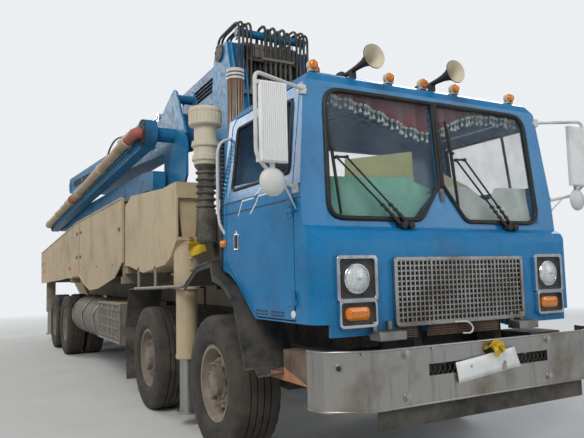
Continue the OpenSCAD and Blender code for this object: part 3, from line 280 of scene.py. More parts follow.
CASTING = worn_finish("grimy_casting", (0.17, 0.15, 0.13), (0.05, 0.04, 0.035), rough=(0.6, 0.85), grain=0.4)
PLASTIC = worn_finish("black_plastic", (0.035, 0.034, 0.034), (0.07, 0.06, 0.05), rough=(0.45, 0.65),
                      grain=0.2)
CHROME = worn_finish("chrome", (0.75, 0.76, 0.78), (0.5, 0.47, 0.42), metal=1.0, rough=(0.08, 0.25),
                     stain_reach=(0.6, 0.85), dust_most=0.25, grain=0.02)
ALLOY = worn_finish("brushed_alloy", (0.40, 0.39, 0.37), (0.20, 0.16, 0.12), metal=1.0, rough=(0.25, 0.5),
                    dust_most=0.4, grain=0.12, grain_scale=40, streak=0.6, stain_reach=(0.5, 0.72))
STEEL = worn_finish("bare_steel", (0.42, 0.42, 0.41), (0.24, 0.2, 0.16), metal=1.0, rough=(0.3, 0.6))
WHEEL = worn_finish("wheel_paint", (0.24, 0.20, 0.155), (0.11, 0.08, 0.055), rough=(0.55, 0.8),
                    dust_most=0.75)
DULL_ALLOY = worn_finish("dull_alloy", (0.33, 0.32, 0.30), (0.16, 0.13, 0.10), metal=0.7, rough=(0.45, 0.7),
                         dust_most=0.5, streak=0.4)
PALE_METAL = worn_finish("pale_tube", (0.62, 0.62, 0.60), (0.35, 0.32, 0.28), rough=(0.3, 0.5), dust_most=0.3)
ORANGE_RUST = worn_finish("orange_rust", (0.42, 0.17, 0.06), (0.20, 0.08, 0.04), rough=(0.6, 0.85), grain=0.4)
RUST_BROWN = worn_finish("rust_brown", (0.13, 0.06, 0.038), (0.05, 0.03, 0.022), rough=(0.6, 0.85), grain=0.4,
                         stain_reach=(0.42, 0.62), streak=0.5)
HOSE = worn_finish("hose_rubber", (0.014, 0.014, 0.015), (0.04, 0.038, 0.035), rough=(0.4, 0.6), low=2,
                   high=5)
SEAL = worn_finish("black_seal", (0.012, 0.012, 0.013), (0.03, 0.03, 0.03), rough=(0.4, 0.6), dust_most=0.2)
WHITE = worn_finish("white_shell", (0.78, 0.79, 0.78), (0.55, 0.54, 0.5), rough=(0.3, 0.5), dust_most=0.3)
CABIN = worn_finish("cabin_plastic", (0.045, 0.042, 0.04), (0.09, 0.08, 0.07), rough=(0.6, 0.8))
print("finishes", len(bpy.data.materials))

# %% [markdown]
# Rubber, glass, lamp glass and cloth need shaders of their own. Glass is kept thin
# and nearly clear, with a little roughness from dust, so that the cabin shows.

# %% rubber, glass, lamps and cloth
def tyre_finish():
    made, tree, shader, where = blank_finish("tyre_rubber")
    cloud = noise(tree, where, 6, 8, 0.6)
    base = blend_colour(tree, curve(tree, cloud, 0.35, 0.75, 0.1, 0.75), (0.021, 0.02, 0.02),
                        (0.115, 0.095, 0.07))
    wire(tree, base, shader.inputs["Base Color"])
    settle(shader, Roughness=0.82)
    bump(tree, shader, noise(tree, where, 120, 4), 0.25)
    return made


def glass_finish():
    made, tree, shader, where = blank_finish("window_glass")
    smear = noise(tree, where, 4, 6, 0.6)
    wire(tree, blend_colour(tree, smear, (0.07, 0.11, 0.12), (0.16, 0.18, 0.18)), shader.inputs["Base Color"])
    wire(tree, curve(tree, smear, 0.4, 0.75, 0.10, 0.20), shader.inputs["Alpha"])
    settle(shader, Roughness=0.05, Specular_IOR_Level=0.6)
    return made


def lens_finish(name, colour):
    """Coloured lamp glass, with small cells like the prisms that are moulded in it."""
    made, tree, shader, where = blank_finish(name)
    cells = node(tree, "ShaderNodeTexVoronoi")
    cells.inputs["Scale"].default_value = 90
    wire(tree, where, cells.inputs["Vector"])
    dim = tuple(c * 0.55 for c in colour)
    wire(tree, blend_colour(tree, cells.outputs["Distance"], colour, dim), shader.inputs["Base Color"])
    settle(shader, Roughness=0.12, Coat_Weight=0.8)
    bump(tree, shader, cells.outputs["Distance"], 0.35, 0.003)
    return made


def cloth_finish(name, colour, dark):
    made, tree, shader, where = blank_finish(name)
    folds = noise(tree, where, 9, 5, 0.6)
    wire(tree, blend_colour(tree, curve(tree, folds, 0.35, 0.7), colour, dark), shader.inputs["Base Color"])
    settle(shader, Roughness=0.9, Sheen_Weight=0.25)
    threads = node(tree, "ShaderNodeTexWave", wave_type="BANDS", bands_direction="DIAGONAL")
    threads.inputs["Scale"].default_value = 90
    wire(tree, where, threads.inputs["Vector"])
    bump(tree, shader, threads.outputs["Fac"], 0.3)
    return made


TYRE = tyre_finish()
GLASS = glass_finish()
AMBER = lens_finish("amber_lens", (0.95, 0.26, 0.01))
HEADLAMP = lens_finish("clear_lens", (0.75, 0.78, 0.8))
GREEN_SHADE = cloth_finish("green_shade", (0.22, 0.56, 0.42), (0.13, 0.40, 0.30))
PALE_SHADE = cloth_finish("pale_shade", (0.66, 0.72, 0.66), (0.46, 0.52, 0.48))
BURGUNDY = cloth_finish("burgundy_cloth", (0.20, 0.018, 0.035), (0.10, 0.009, 0.018))
YELLOW = cloth_finish("yellow_cloth", (0.80, 0.55, 0.02), (0.55, 0.34, 0.01))
SEAT = cloth_finish("seat_cloth", (0.10, 0.09, 0.085), (0.05, 0.045, 0.04))
print("special finishes", TYRE.name, GLASS.name)

# %% [markdown]
# The CAD nodes keep their shape and take these finishes. A small bevel on the sharp
# edges of the larger ones gives them the highlight that folded sheet has.

# %% finishes and soft edges on the carried-over parts
def by_name(table):
    """Turn rows of (value, names) into one value for each name."""
    return {name: value for value, names in table for name in names.split()}


NODE_FINISH = by_name((
    (FRAME_PAINT, "chassis_frame axles lower_valance"),
    (CASTING, "engine_gearbox fuel_tank side_boxes pump_unit"),
    (BLUE, "cab_shell door_left door_right"),
    (CHROME, "cab_front luff_rod rod_2 rod_3 rod_4"),
    (TAN, "fenders side_panels hopper front_outrigger_left front_outrigger_right"),
    (BOOM, "turret luff_barrel arm_1 arm_2 arm_3 arm_4"),
    (STEEL, "front_jack_left front_jack_right rear_jack_left rear_jack_right"),
    (DECK, "subframe_deck hopper_grate"), (ALLOY, "front_bumper"), (GLASS, "windshield"),
    (CABIN, "cab_interior"), (WHITE, "mirrors"), (AMBER, "cab_fittings"), (CREAM, "air_cleaner"),
    (RUST, "exhaust_stack"), (HOSE, "turret_hoses"), (PIPE, "concrete_pipe_3"),
))
for side in ("left", "right"):
    for axle in (1, 2):
        NODE_FINISH[f"knuckle_{side}_{axle}"] = FRAME_PAINT
        NODE_FINISH[f"tyre_{side}_{axle}"] = TYRE
        NODE_FINISH[f"rim_{side}_{axle}"] = WHEEL
    for axle in (3, 4):
        NODE_FINISH[f"wheel_pair_{side}_{axle}"] = WHEEL

SOFT_EDGES = by_name((
    (0.012, "cab_shell"), (0.010, "front_outrigger_left front_outrigger_right mirrors"), (0.008, "turret"),
    (0.006, "door_left door_right front_bumper arm_1 arm_2 arm_3 arm_4 hopper"),
    (0.004, "side_panels"), (0.003, "cab_front"),
))
SHARP_ANGLE = 35


def soften(thing, width):
    edge = thing.modifiers.new("soft_edges", "BEVEL")
    edge.width = width
    edge.segments = 2
    edge.limit_method = "ANGLE"
    edge.angle_limit = math.radians(SHARP_ANGLE)


def shade(thing, angle=SHARP_ANGLE):
    for face in thing.data.polygons:
        face.use_smooth = True
    thing.data.set_sharp_from_angle(angle=math.radians(angle))


for name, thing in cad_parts.items():
    thing.data.materials.clear()
    thing.data.materials.append(NODE_FINISH[name])
    shade(thing)
    if name in SOFT_EDGES:
        soften(thing, SOFT_EDGES[name])
print("carried over", len(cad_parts), "nodes")

# %% [markdown]
# Some carried-over parts wear more than one paint: the pipe beside an arm is sandy
# with red bends, and the bellows of the air cleaner are dark rubber. A face keeps
# its place in the mesh and only takes another material, chosen by where it lies.

# %% more than one paint on a part
def paint(name, finish, chosen):
    """Give a finish to each face of a CAD part whose middle, in truck metres, is chosen."""
    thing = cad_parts[name]
    thing.data.materials.append(finish)
    place = len(thing.data.materials) - 1
    count = 0
    for face in thing.data.polygons:
        middle = face.center
        if chosen(middle.x, middle.y + MIDDLE, middle.z):
            face.material_index = place
            count += 1
    print(name, finish.name, count, "faces")


RISER_X, RISER_Y = 0.59, 3.05


def on_riser(x, y, z):
    return x > 0.503 and math.hypot(x - RISER_X, y - RISER_Y) < 0.2 and z > 2.5


paint("turret", PIPE, on_riser)
paint("turret", RED, lambda x, y, z: on_riser(x, y, z) and z > 3.72)
paint("arm_1", PIPE, lambda x, y, z: x > 0.222)
paint("arm_1", RED, lambda x, y, z: x > 0.45 and y < 3.6)
paint("concrete_pipe_3", RED, lambda x, y, z: y < 4.5 or 8.3 < y < 9.0)
paint("air_cleaner", HOSE, lambda x, y, z: z < 2.41)
paint("fenders", PLASTIC, lambda x, y, z: y < 1.1 and abs(x) > 0.849 and z < 1.24)
paint("fenders", RUST_BROWN, lambda x, y, z: y < 0.641 and abs(x) < 1.151 and 0.69 < z < 0.91)
paint("fenders", ORANGE_RUST, lambda x, y, z: y < 0.641 and 0.81 < abs(x) < 1.151 and z < 0.75)
paint("fenders", PLASTIC, lambda x, y, z: abs(x) > 0.849 and 1.4 < y < 2.141)
paint("fenders", DULL_ALLOY, lambda x, y, z: abs(x) > 0.849 and 2.14 < y < 4.0)
paint("fenders", PLASTIC, lambda x, y, z: abs(x) > 0.849 and y > 4.0)
paint("fenders", FRAME_PAINT, lambda x, y, z: abs(x) < 0.849)
paint("exhaust_stack", CREAM, lambda x, y, z: 2.2 < z < 2.5)
paint("side_boxes", TAN, lambda x, y, z: z > 1.059)

# %% [markdown]
# Every added piece is collected point by point in truck metres. A few shapes come
# back often on a machine: a folded bar, a tube along a path, a turned part, a sheet
# and a plate cut to an outline. The collector builds each from points and faces. A
# shape on one side of the truck is given once, counted away from the middle.

# %% a collector for pieces
SIDES = ((-1, "right"), (1, "left"))
GLASS_FOOT_Y, GLASS_FOOT_Z, GLASS_LEAN, GLASS_HEIGHT = 0.1286, 1.69, 0.08, 0.97
CAB_HALF, BELT_Z, TAPER, TAPER_HEIGHT = 1.17, 1.96, 0.095, 0.8
BLOCK_FACES = [(0, 1, 3, 2), (4, 6, 7, 5), (0, 4, 5, 1), (2, 3, 7, 6), (0, 2, 6, 4), (1, 5, 7, 3)]
AXES = {"x": Vector((1, 0, 0)), "y": Vector((0, 1, 0)), "z": Vector((0, 0, 1))}
SAME_POINT = 0.00005


def pane_y(z):
    """The sloped glass plane: its distance behind the cab's face at a height."""
    return GLASS_FOOT_Y + (z - GLASS_FOOT_Z) * GLASS_LEAN / GLASS_HEIGHT


def side_x(z):
    """Half the width of the cab's side at a height."""
    return CAB_HALF - max(0.0, z - BELT_Z) * TAPER / TAPER_HEIGHT


def full_circle(count):
    """Angles in equal steps, one turn in all."""
    return [2 * math.pi * k / count for k in range(count)]


class Work:
    """Collects one piece and turns it into an object that rides on a body."""

    def __init__(self):
        self.points = []
        self.faces = []

    def add(self, points, faces):
        first = len(self.points)
        self.points += [tuple(point) for point in points]
        self.faces += [tuple(first + i for i in face) for face in faces]

    def block(self, corners):
        """A closed form between eight corners, given two by two by two."""
        self.add(corners, BLOCK_FACES)

    def box(self, x0, x1, y0, y1, z0, z1):
        self.block([(x, y, z) for x in (x0, x1) for y in (y0, y1) for z in (z0, z1)])

    def side_box(self, side, x0, x1, *others):
        self.box(*sorted((side * x0, side * x1)), *others)

    def grid(self, rows):
        """An open sheet through rows of points."""
        wide = len(rows[0])
        self.add([point for row in rows for point in row],
                 [(j * wide + i, j * wide + i + 1, (j + 1) * wide + i + 1, (j + 1) * wide + i)
                  for j in range(len(rows) - 1) for i in range(wide - 1)])

    def slab(self, outline, axis, low, high):
        """A plate with an outline in the two other axes, between low and high on this one."""
        def place(pair, level):
            values = list(pair)
            values.insert("xyz".index(axis), level)
            return values
        self.ring([[place(pair, level) for pair in outline] for level in (low, high)])

    def side_slab(self, side, outline, x0, x1):
        self.slab(outline, "x", *sorted((side * x0, side * x1)))

    def ring(self, sections, closed=False, caps=True):
        """Skin a run of equal rings of points."""
        count = len(sections[0])
        faces = []
        for k in range(len(sections) if closed else len(sections) - 1):
            a = k * count
            b = ((k + 1) % len(sections)) * count
            faces += [(a + i, a + (i + 1) % count, b + (i + 1) % count, b + i) for i in range(count)]
        if caps and not closed:
            faces.append(tuple(range(count)))
            faces.append(tuple(range((len(sections) - 1) * count, len(sections) * count))[::-1])
        self.add([point for section in sections for point in section], faces)

    def tube(self, path, radius, sides=10, closed=False, flat=1.0):
        """A round or flattened tube along a path; a list of radii tapers it."""
        path = [Vector(point) for point in path]
        count = len(path)
        radii = radius if isinstance(radius, list) else [radius] * count
        sections = []
        across = None
        for k, point in enumerate(path):
            before = path[k - 1] if k or closed else point
            after = path[(k + 1) % count] if k < count - 1 or closed else point
            along = (after - before).normalized()
            if across is None:
                across = along.orthogonal().normalized()
            across = (across - along * across.dot(along)).normalized()
            other = along.cross(across)
            sections.append([point + radii[k] * (math.cos(t) * across + flat * math.sin(t) * other)
                             for t in full_circle(sides)])
        self.ring(sections, closed)

    def turned(self, centre, axis, profile, sides=24, closed=False, caps=True):
        """A turned part: its profile gives (distance along the axis, radius)."""
        centre = Vector(centre)
        along = AXES.get(axis) if isinstance(axis, str) else axis
        first = along.orthogonal().normalized()
        second = along.cross(first)
        self.ring([[centre + along * step + radius * (math.cos(t) * first + math.sin(t) * second)
                    for t in full_circle(sides)] for step, radius in profile], closed, caps)

    def outward(self, side, centre, profile, sides=24, caps=True):
        """A turned part across the truck; its profile runs away from the middle."""
        x, y, z = centre
        self.turned((side * x, y, z), "x", [(side * step, radius) for step, radius in profile], sides,
                    caps=caps)

    def bolt_circle(self, side, centre, radius, count, profile, start=0.0):
        """Bolts or nuts in a circle round an axis across the truck."""
        x, y, z = centre
        for a in full_circle(count):
            self.outward(side, (x, y + radius * math.cos(a + start), z + radius * math.sin(a + start)),
                         profile, 6)

    def make(self, name, finish, body, soft=0.0, angle=SHARP_ANGLE, slot=None, merge=True):
        mesh = bpy.data.meshes.new(name)
        mesh.from_pydata([spot(*point) for point in self.points], [], self.faces)
        shape = bmesh.new()
        shape.from_mesh(mesh)
        if merge:
            bmesh.ops.remove_doubles(shape, verts=shape.verts, dist=SAME_POINT)
        bmesh.ops.recalc_face_normals(shape, faces=shape.faces)
        shape.to_mesh(mesh)
        shape.free()
        thing = bpy.data.objects.new(name, mesh)
        scene.collection.objects.link(thing)
        mesh.materials.append(finish)
        shade(thing, angle)
        if soft:
            soften(thing, soft)
        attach(thing, body)
        return thing


def soft_corner(before, corner, after, reach, steps):
    """Points of a bend that starts one reach before a corner and ends one reach after it."""
    start = corner + (before - corner).normalized() * reach
    end = corner + (after - corner).normalized() * reach
    return [(1 - t) ** 2 * start + 2 * t * (1 - t) * corner + t ** 2 * end
            for t in (k / steps for k in range(steps + 1))]


def bend_path(points, radius, steps=6):
    """Round the inner corners of a path with arcs of about this radius."""
    points = [Vector(point) for point in points]
    path = [points[0]]
    for before, corner, after in zip(points, points[1:], points[2:]):
        reach = min(radius, (before - corner).length * 0.49, (after - corner).length * 0.49)
        path += soft_corner(before, corner, after, reach, steps)
    return path + [points[-1]]


print("collector ready")

# %% [markdown]
# Six pressure hoses climb the front of the slewing head and bend over into a bar.
# They are held at both ends, so each is a fixed length of stiff hose. Each follows a
# route with soft bends.

# %% hoses over the turret
def length_of(path):
    return sum((b - a).length for a, b in zip(path, path[1:]))


def hose(name, path, radius, body="turret", sides=10):
    """A hose that is held at both ends, made as a tube along its route."""
    work = Work()
    work.tube(path, radius, sides)
    thing = work.make(name, HOSE, body, slot="hose")


def turret_route(x, top):
    return bend_path([(x, 2.60, 2.72), (x, 2.60, top), (x, 2.812, top), (x, 2.812, 3.80)], 0.1, 8)


work = Work()
work.box(-0.19, 0.19, 2.58, 2.775, 2.65, 2.715)
for k in range(6):
    x = -0.15 + 0.06 * k
    hose(f"turret_hose_{k + 1}", turret_route(x, 4.109 - 0.03 * (k % 2)), 0.016, sides=12)
    for y, z in ((2.60, 2.715), (2.812, 3.81)):
        work.turned((x, y, z), "z", [(0, 0.024), (0.05, 0.024), (0.05, 0.019), (0.09, 0.019)], 6)
work.box(-0.24, 0.24, 2.79, 2.835, 3.76, 3.81)
for k in range(4):
    z = 2.95 + 0.25 * k
    work.box(-0.19, 0.19, 2.578, 2.622, z, z + 0.03)
clamps = work.make("turret_hose_clamps", CASTING, "turret", soft=0.003)
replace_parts(clamps, "turret_hoses")
print("hoses 6 of", round(length_of(turret_route(0, 4.109)), 2), "m")

# %% [markdown]
# On the front of the slewing head, in a dark recess between two flanges, stands a
# bank of cast valves. Short hoses loop down from it, and two groups of longer ones
# arch over the ears of the head. Each is held at both ends.

# %% valve bank and its hoses
HEAD_BEND_Z = 3.45


def head_front(z):
    """Where the sloped front of the slewing head and of its ears lies at a height."""
    if z < HEAD_BEND_Z:
        return 2.62 + (z - 2.39) * 0.1 / 1.06
    return 2.72 + (z - HEAD_BEND_Z) * 0.13 / 0.5


# A thin black sheet on the head's front, behind the valves, is painted shade for the recess.
recess = Work()
recess.slab([(head_front(z) - 0.001, z) for z in (2.75, HEAD_BEND_Z, 3.93)]
            + [(head_front(z) - 0.005, z) for z in (3.93, HEAD_BEND_Z, 2.75)], "x", -0.33, 0.33)
recess.make("valve_recess_painted_shade", SEAL, "turret")
flange_outline = [(head_front(z) + ahead, z) for z, ahead in (
    (2.5, -0.07), (HEAD_BEND_Z, -0.07), (3.94, -0.06), (3.94, 0.01), (HEAD_BEND_Z, 0.01), (2.5, 0.01))]
flanges = Work()
for side in (-1, 1):
    for x in (0.345, 0.47):
        flanges.side_slab(side, flange_outline, x - 0.007, x + 0.007)
flanges.turned((-0.43, 2.755, 4.035), "x", [(0, 0.03), (0, 0.045), (0.86, 0.045), (0.86, 0.03)], 24)
for side in (-1, 1):
    flanges.side_slab(side, [(2.70, 3.97), (2.755, 4.095), (2.83, 3.97)], 0.392, 0.408)
flanges.make("head_flanges", BOOM, "turret", soft=0.003)
valves = Work()
for k in range(9):
    x = -0.264 + 0.066 * k
    valves.box(x - 0.027, x + 0.027, 2.70, 2.79, 3.765, 3.915)
    valves.turned((x, 2.70, 3.87), "y", [(-0.012, 0.009), (0.002, 0.012)], 6)
    valves.turned((x, 2.745, 3.915), "z", [(0, 0.016), (0.02, 0.016), (0.02, 0.006), (0.06, 0.006)], 8)
valves.box(-0.30, 0.30, 2.722, 2.789, 3.735, 3.775)
valves.make("valve_bank", CASTING, "turret", soft=0.003, slot="casting")

LOOP_STEPS = 24
LOOP_TOP = 3.74
for k in range(5):
    x = -0.255 + 0.115 * k
    low = 3.27 + 0.05 * (k % 3)
    path = []
    for t in range(LOOP_STEPS + 1):
        swing = math.sin(math.pi * t / LOOP_STEPS)
        z = LOOP_TOP - (LOOP_TOP - low) * swing ** 0.7
        path.append(Vector((x + 0.05 * t / LOOP_STEPS + 0.012 * swing, head_front(z) - 0.022, z)))
    hose(f"valve_hose_{k + 1}", path, 0.010)
ends = Work()
for side, word in SIDES:
    for k in range(4):
        x = side * (0.285 + 0.047 * k)
        top = 4.165 - 0.02 * (k % 2)
        route = [(x, 2.692, 3.390), (x, 2.675, top), (x, 3.290, top - 0.02), (x, 3.295, 3.60)]
        hose(f"ear_hose_{word}_{k + 1}", bend_path(route, 0.14, 8), 0.014)
        for y, z in ((2.691, 3.370), (3.295, 3.56)):
            ends.turned((x, y, z), "z", [(0, 0.02), (0.04, 0.02), (0.045, 0.016), (0.07, 0.016)], 6)
    ends.side_box(side, 0.26, 0.455, 3.22, 3.32, 3.52, 3.565)
    ends.side_box(side, 0.26, 0.455, 2.66, 2.73, 3.330, 3.375)
ends.make("hose_fittings", CASTING, "turret", soft=0.002)
print("valve and ear hoses 13")

# %% [markdown]
# The windshield is two flat panes in one black rubber profile. Its outer corners are
# widely rounded, and its lower inner edges rise to a point at the centre, over a blue
# cowl panel. The rubber is a flattened tube along a rounded outline in the pane's plane.

# %% windshield rubber and divider
ROUND_STEPS = 7


def rounded(corners, steps=ROUND_STEPS):
    """Points of a closed outline; each corner is (across, height, radius)."""
    places = [Vector(corner[:2]) for corner in corners]
    path = []
    for k, corner in enumerate(places):
        path += soft_corner(places[k - 1], corner, places[(k + 1) % len(places)], corners[k][2], steps)
    return path


def rounded_box(x0, x1, z0, z1, radius, steps):
    """An outline with four equal corners."""
    return rounded([(x0, z0, radius), (x1, z0, radius), (x1, z1, radius), (x0, z1, radius)], steps)


for side, word in SIDES:
    corners = [(side * 0.014, 2.010, 0.02), (side * 0.215, 1.742, 0.05), (side * 0.975, 1.742, 0.12),
               (side * 0.942, 2.612, 0.13), (side * 0.014, 2.612, 0.02)]
    outline = rounded(corners)
    work = Work()
    work.tube([(x, pane_y(z) - 0.006, z) for x, z in outline], 0.019, 10, closed=True, flat=0.8)
    work.make(f"windshield_rubber_{word}", SEAL, "cab", angle=60)
    outer = []
    for x, z, radius in corners:
        out, up = 0.016 if x * side > 0.5 else -0.004, 0.016 if z > 2.2 else -0.016
        if 1.9 < z < 2.1:
            out, up = -0.004, -0.012
        outer += [(x + side * out, pane_y(z) - 0.001, z + up)] * (ROUND_STEPS + 1)
    work = Work()
    work.ring([[(x, pane_y(z) - 0.002, z) for x, z in outline], outer], caps=False)
    work.make(f"windshield_corners_{word}", BLUE, "cab", angle=60)

work = Work()
for x, out in ((0.024, 0.022), (0.010, 0.030)):
    work.block([(across, pane_y(z) - d, z) for z in (1.985, 2.622) for across in (-x, x) for d in (0.0, out)])
work.make("windshield_divider", FRAME_PAINT, "cab", soft=0.004)
work = Work()
work.turned((0, pane_y(1.955) - 0.012, 1.955), "y", [(-0.012, 0.010), (0, 0.024), (0.012, 0.024)], 16)
work.box(-0.012, 0.012, pane_y(1.9) - 0.02, pane_y(1.9), 1.88, 1.945)
work.make("cowl_latch", CASTING, "cab", soft=0.002)
print("windshield trim")

# %% [markdown]
# Behind the glass hang loose things that the eye meets at once: a green sun shade
# and a pale one, a folded carton, and a dark red pelmet with a bobble fringe. A
# cloth is one thin wavy sheet, so each is a grid of points pushed in and out.

# %% shades, carton and pelmet
CLOTH_BEHIND_GLASS = 0.05


def hanging_cloth(name, finish, across, top, bottom, wave, columns=48, rows=16):
    """A hanging sheet: top and bottom are heights as functions of the place across."""
    points = []
    for j in range(rows + 1):
        v = j / rows
        row = []
        for i in range(columns + 1):
            x = across[0] + (across[1] - across[0]) * i / columns
            z = top(x) + (bottom(x) - top(x)) * v
            row.append((x, pane_y(z) + CLOTH_BEHIND_GLASS + wave(x, v), z))
        points.append(row)
    work = Work()
    work.grid(points)
    return work.make(name, finish, "cab", angle=180, slot="interior")


def line_between(points):
    """Heights along a bent line of (across, height) points."""
    def height(x):
        for (x0, z0), (x1, z1) in zip(points, points[1:]):
            if x <= x1:
                return z0 + (z1 - z0) * max(0.0, (x - x0)) / (x1 - x0)
        return points[-1][1]
    return height


def gentle(x, v):
    return 0.006 * math.sin(9 * x + 2 * v) + 0.004 * math.sin(23 * x - 5 * v)


def fold(x, v):
    return 0.012 * math.sin(46 * x) * (0.3 + v) + 0.006 * math.sin(19 * x + 3)


green = hanging_cloth("green_shade", GREEN_SHADE, (-0.955, -0.03),
                      line_between([(-0.96, 2.02), (-0.226, 2.057), (-0.186, 2.02), (-0.02, 1.955)]),
                      line_between([(-0.96, 1.76), (-0.235, 1.76), (-0.03, 1.954)]), gentle)
pale = hanging_cloth("pale_shade", PALE_SHADE, (0.03, 0.955),
                     line_between([(0.02, 2.015), (0.346, 2.01), (0.466, 1.915), (0.531, 1.925), (0.60, 2.02),
                                   (0.96, 2.03)]),
                     line_between([(0.03, 1.954), (0.235, 1.76), (0.96, 1.76)]), gentle)

FRINGE_COUNT = 30
BOBBLE = [(-0.026, 0.003), (-0.020, 0.013), (-0.006, 0.008), (0.004, 0.003)]
KNOT = [(-0.010, 0.004), (-0.004, 0.013), (0.006, 0.013), (0.010, 0.004)]
for word, span, edge in (
        ("right", (-0.94, -0.02), [(-0.945, 2.585), (-0.726, 2.572), (-0.547, 2.53), (-0.379, 2.48),
                                   (-0.243, 2.42), (-0.03, 2.39)]),
        ("left", (0.02, 0.93), [(0.03, 2.40), (0.146, 2.46), (0.298, 2.53), (0.443, 2.575), (0.607, 2.59),
                                (0.93, 2.59)])):
    height = line_between(edge)
    pelmet = hanging_cloth(f"pelmet_{word}", BURGUNDY, span, lambda x: 2.625, height, fold, 90, 8)
    work = Work()
    for k in range(FRINGE_COUNT):
        x = span[0] + 0.02 + (span[1] - span[0] - 0.04) * k / (FRINGE_COUNT - 1)
        z = height(x)
        y = pane_y(z) + CLOTH_BEHIND_GLASS + fold(x, 1.0)
        drop = 0.030 + 0.014 * (k % 2)
        work.tube([(x, y, z + 0.004), (x, y, z - drop)], 0.0022, 5)
        work.turned((x, y, z - drop), "z", BOBBLE, 8)
        work.turned((x, y - 0.004, z), "z", KNOT, 8)
    fringe = work.make(f"fringe_{word}", PALE_SHADE, "cab", angle=60, slot="interior")

CARTON = worn_finish("yellow_carton", (0.46, 0.47, 0.22), (0.34, 0.33, 0.15), rough=(0.7, 0.9), dust_most=0.3)
work = Work()
card = [(-0.77, 2.02), (-0.765, 2.15), (-0.268, 2.235), (-0.184, 2.249), (-0.175, 2.02)]
work.slab(card, "y", 0.232, 0.238)
work.slab([(-0.262, 2.03), (-0.256, 2.03), (-0.262, 2.236), (-0.268, 2.236)], "y", 0.229, 0.2325)
work.make("folded_carton", CARTON, "cab", soft=0.001, slot="interior")
work = Work()
work.slab([(0.03, 1.98), (0.03, 2.13), (0.36, 2.02), (0.36, 1.98)], "y", 0.232, 0.237)
work.make("tan_card", CREAM, "cab", soft=0.001, slot="interior")
print("shades, carton, pelmets 2")

# %% [markdown]
# Each wiper is a linked pair of arms on two pivots, so that the blade stays upright
# while it sweeps. Springs, links and the blade's spine are thin black steel. Both
# pairs lean the same way, as they do when they park on this kind of cab.

# %% wipers
WIPER_LIFT = 0.030
for word, pivots, tips, blade in (
        ("right", [(-0.41, 1.70), (-0.345, 1.70)], [(-0.905, 2.137), (-0.826, 2.143)],
         [(-0.955, 2.45), (-0.938, 2.30), (-0.925, 2.19), (-0.905, 1.97), (-0.886, 1.765)]),
        ("left", [(0.60, 1.70), (0.665, 1.70)], [(0.141, 2.192), (0.225, 2.20)],
         [(0.094, 2.486), (0.105, 2.38), (0.118, 2.24), (0.130, 2.02), (0.142, 1.82)])):
    work = Work()
    for (px, pz), (tx, tz) in zip(pivots, tips):
        start = Vector((px, pane_y(pz) - 0.035, pz))
        end = Vector((tx, pane_y(tz) - WIPER_LIFT - 0.012, tz))
        elbow = start.lerp(end, 0.34)
        work.turned((px, 0.06, 1.70), "y", [(0, 0.010), (0.004, 0.024), (0.05, 0.028), (0.07, 0.028)], 16)
        work.tube([start, elbow], [0.022, 0.011], 8, flat=0.6)
        work.tube([elbow, end], 0.007, 8)
        for part in (0.08, 0.16, 0.24, 0.31):
            spring = start.lerp(end, part)
            work.tube([spring - Vector((0.012, 0, 0)), spring + Vector((0.012, 0, 0))], 0.012, 8)
        work.turned((tx, end.y - 0.01, tz), "y", [(0, 0.012), (0.022, 0.012)], 10)
    a, b = tips
    work.tube([(a[0], pane_y(a[1]) - 0.044, a[1]), (b[0], pane_y(b[1]) - 0.044, b[1])], 0.008, 8)
    spine = [(x, pane_y(z) - 0.022, z) for x, z in blade]
    work.tube(spine, [0.005, 0.009, 0.012, 0.009, 0.005], 8)
    for (x0, z0), (x1, z1) in zip(blade, blade[1:]):
        lip = [(x, pane_y(z) - d, z) for x, z,
               d in ((x0, z0, 0.018), (x1, z1, 0.018), (x1, z1, 0.004), (x0, z0, 0.004))]
        work.ring([[(x + half, y, z) for x, y, z in lip] for half in (-0.002, 0.002)])
    work.turned((blade[2][0], pane_y(blade[2][1]) - 0.05, blade[2][1]), "y", [(0, 0.009), (0.03, 0.012)], 8)
    piece = work.make(f"wiper_{word}", SEAL, "cab", angle=50)
    if word == "right":
        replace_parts(piece, "cab_fittings")
print("wipers 2")

# %% [markdown]
# On the roof's front edge sit five amber marker lamps, with one more on each side,
# and two trumpet horns whose bells are cream inside and dark outside. Lamps and
# horns are turned parts.

# %% roof lamps and horns
ROOF_Z = 2.76
work = Work()
lens = Work()
for x in (-0.95, -0.30, 0.02, 0.34, 0.95):
    work.turned((x, 0.352, ROOF_Z + 0.040), "y", [
        (0, 0.020), (-0.012, 0.038), (-0.048, 0.040), (-0.050, 0.034)], 24)
    work.box(x - 0.030, x + 0.030, 0.300, 0.345, ROOF_Z - 0.002, ROOF_Z + 0.012)
    lens.turned((x, 0.302, ROOF_Z + 0.040), "y", [
        (0.002, 0.035), (-0.012, 0.034), (-0.022, 0.024), (-0.026, 0.008), (-0.027, 0.0004)], 24)
for side in (-1, 1):
    work.outward(side, (0.995, 0.95, ROOF_Z + 0.028), [(-0.02 * side, 0.02), (0.02 * side, 0.03)], 20)
    lens.outward(side, (1.012, 0.95, ROOF_Z + 0.028), [(-0.012, 0.03), (0.012, 0.026), (0.02, 0.01)], 20)
work.make("roof_lamp_bodies", CREAM, "cab", soft=0.002)
lens.make("roof_lamp_lenses", AMBER, "cab", angle=50, slot="amber")

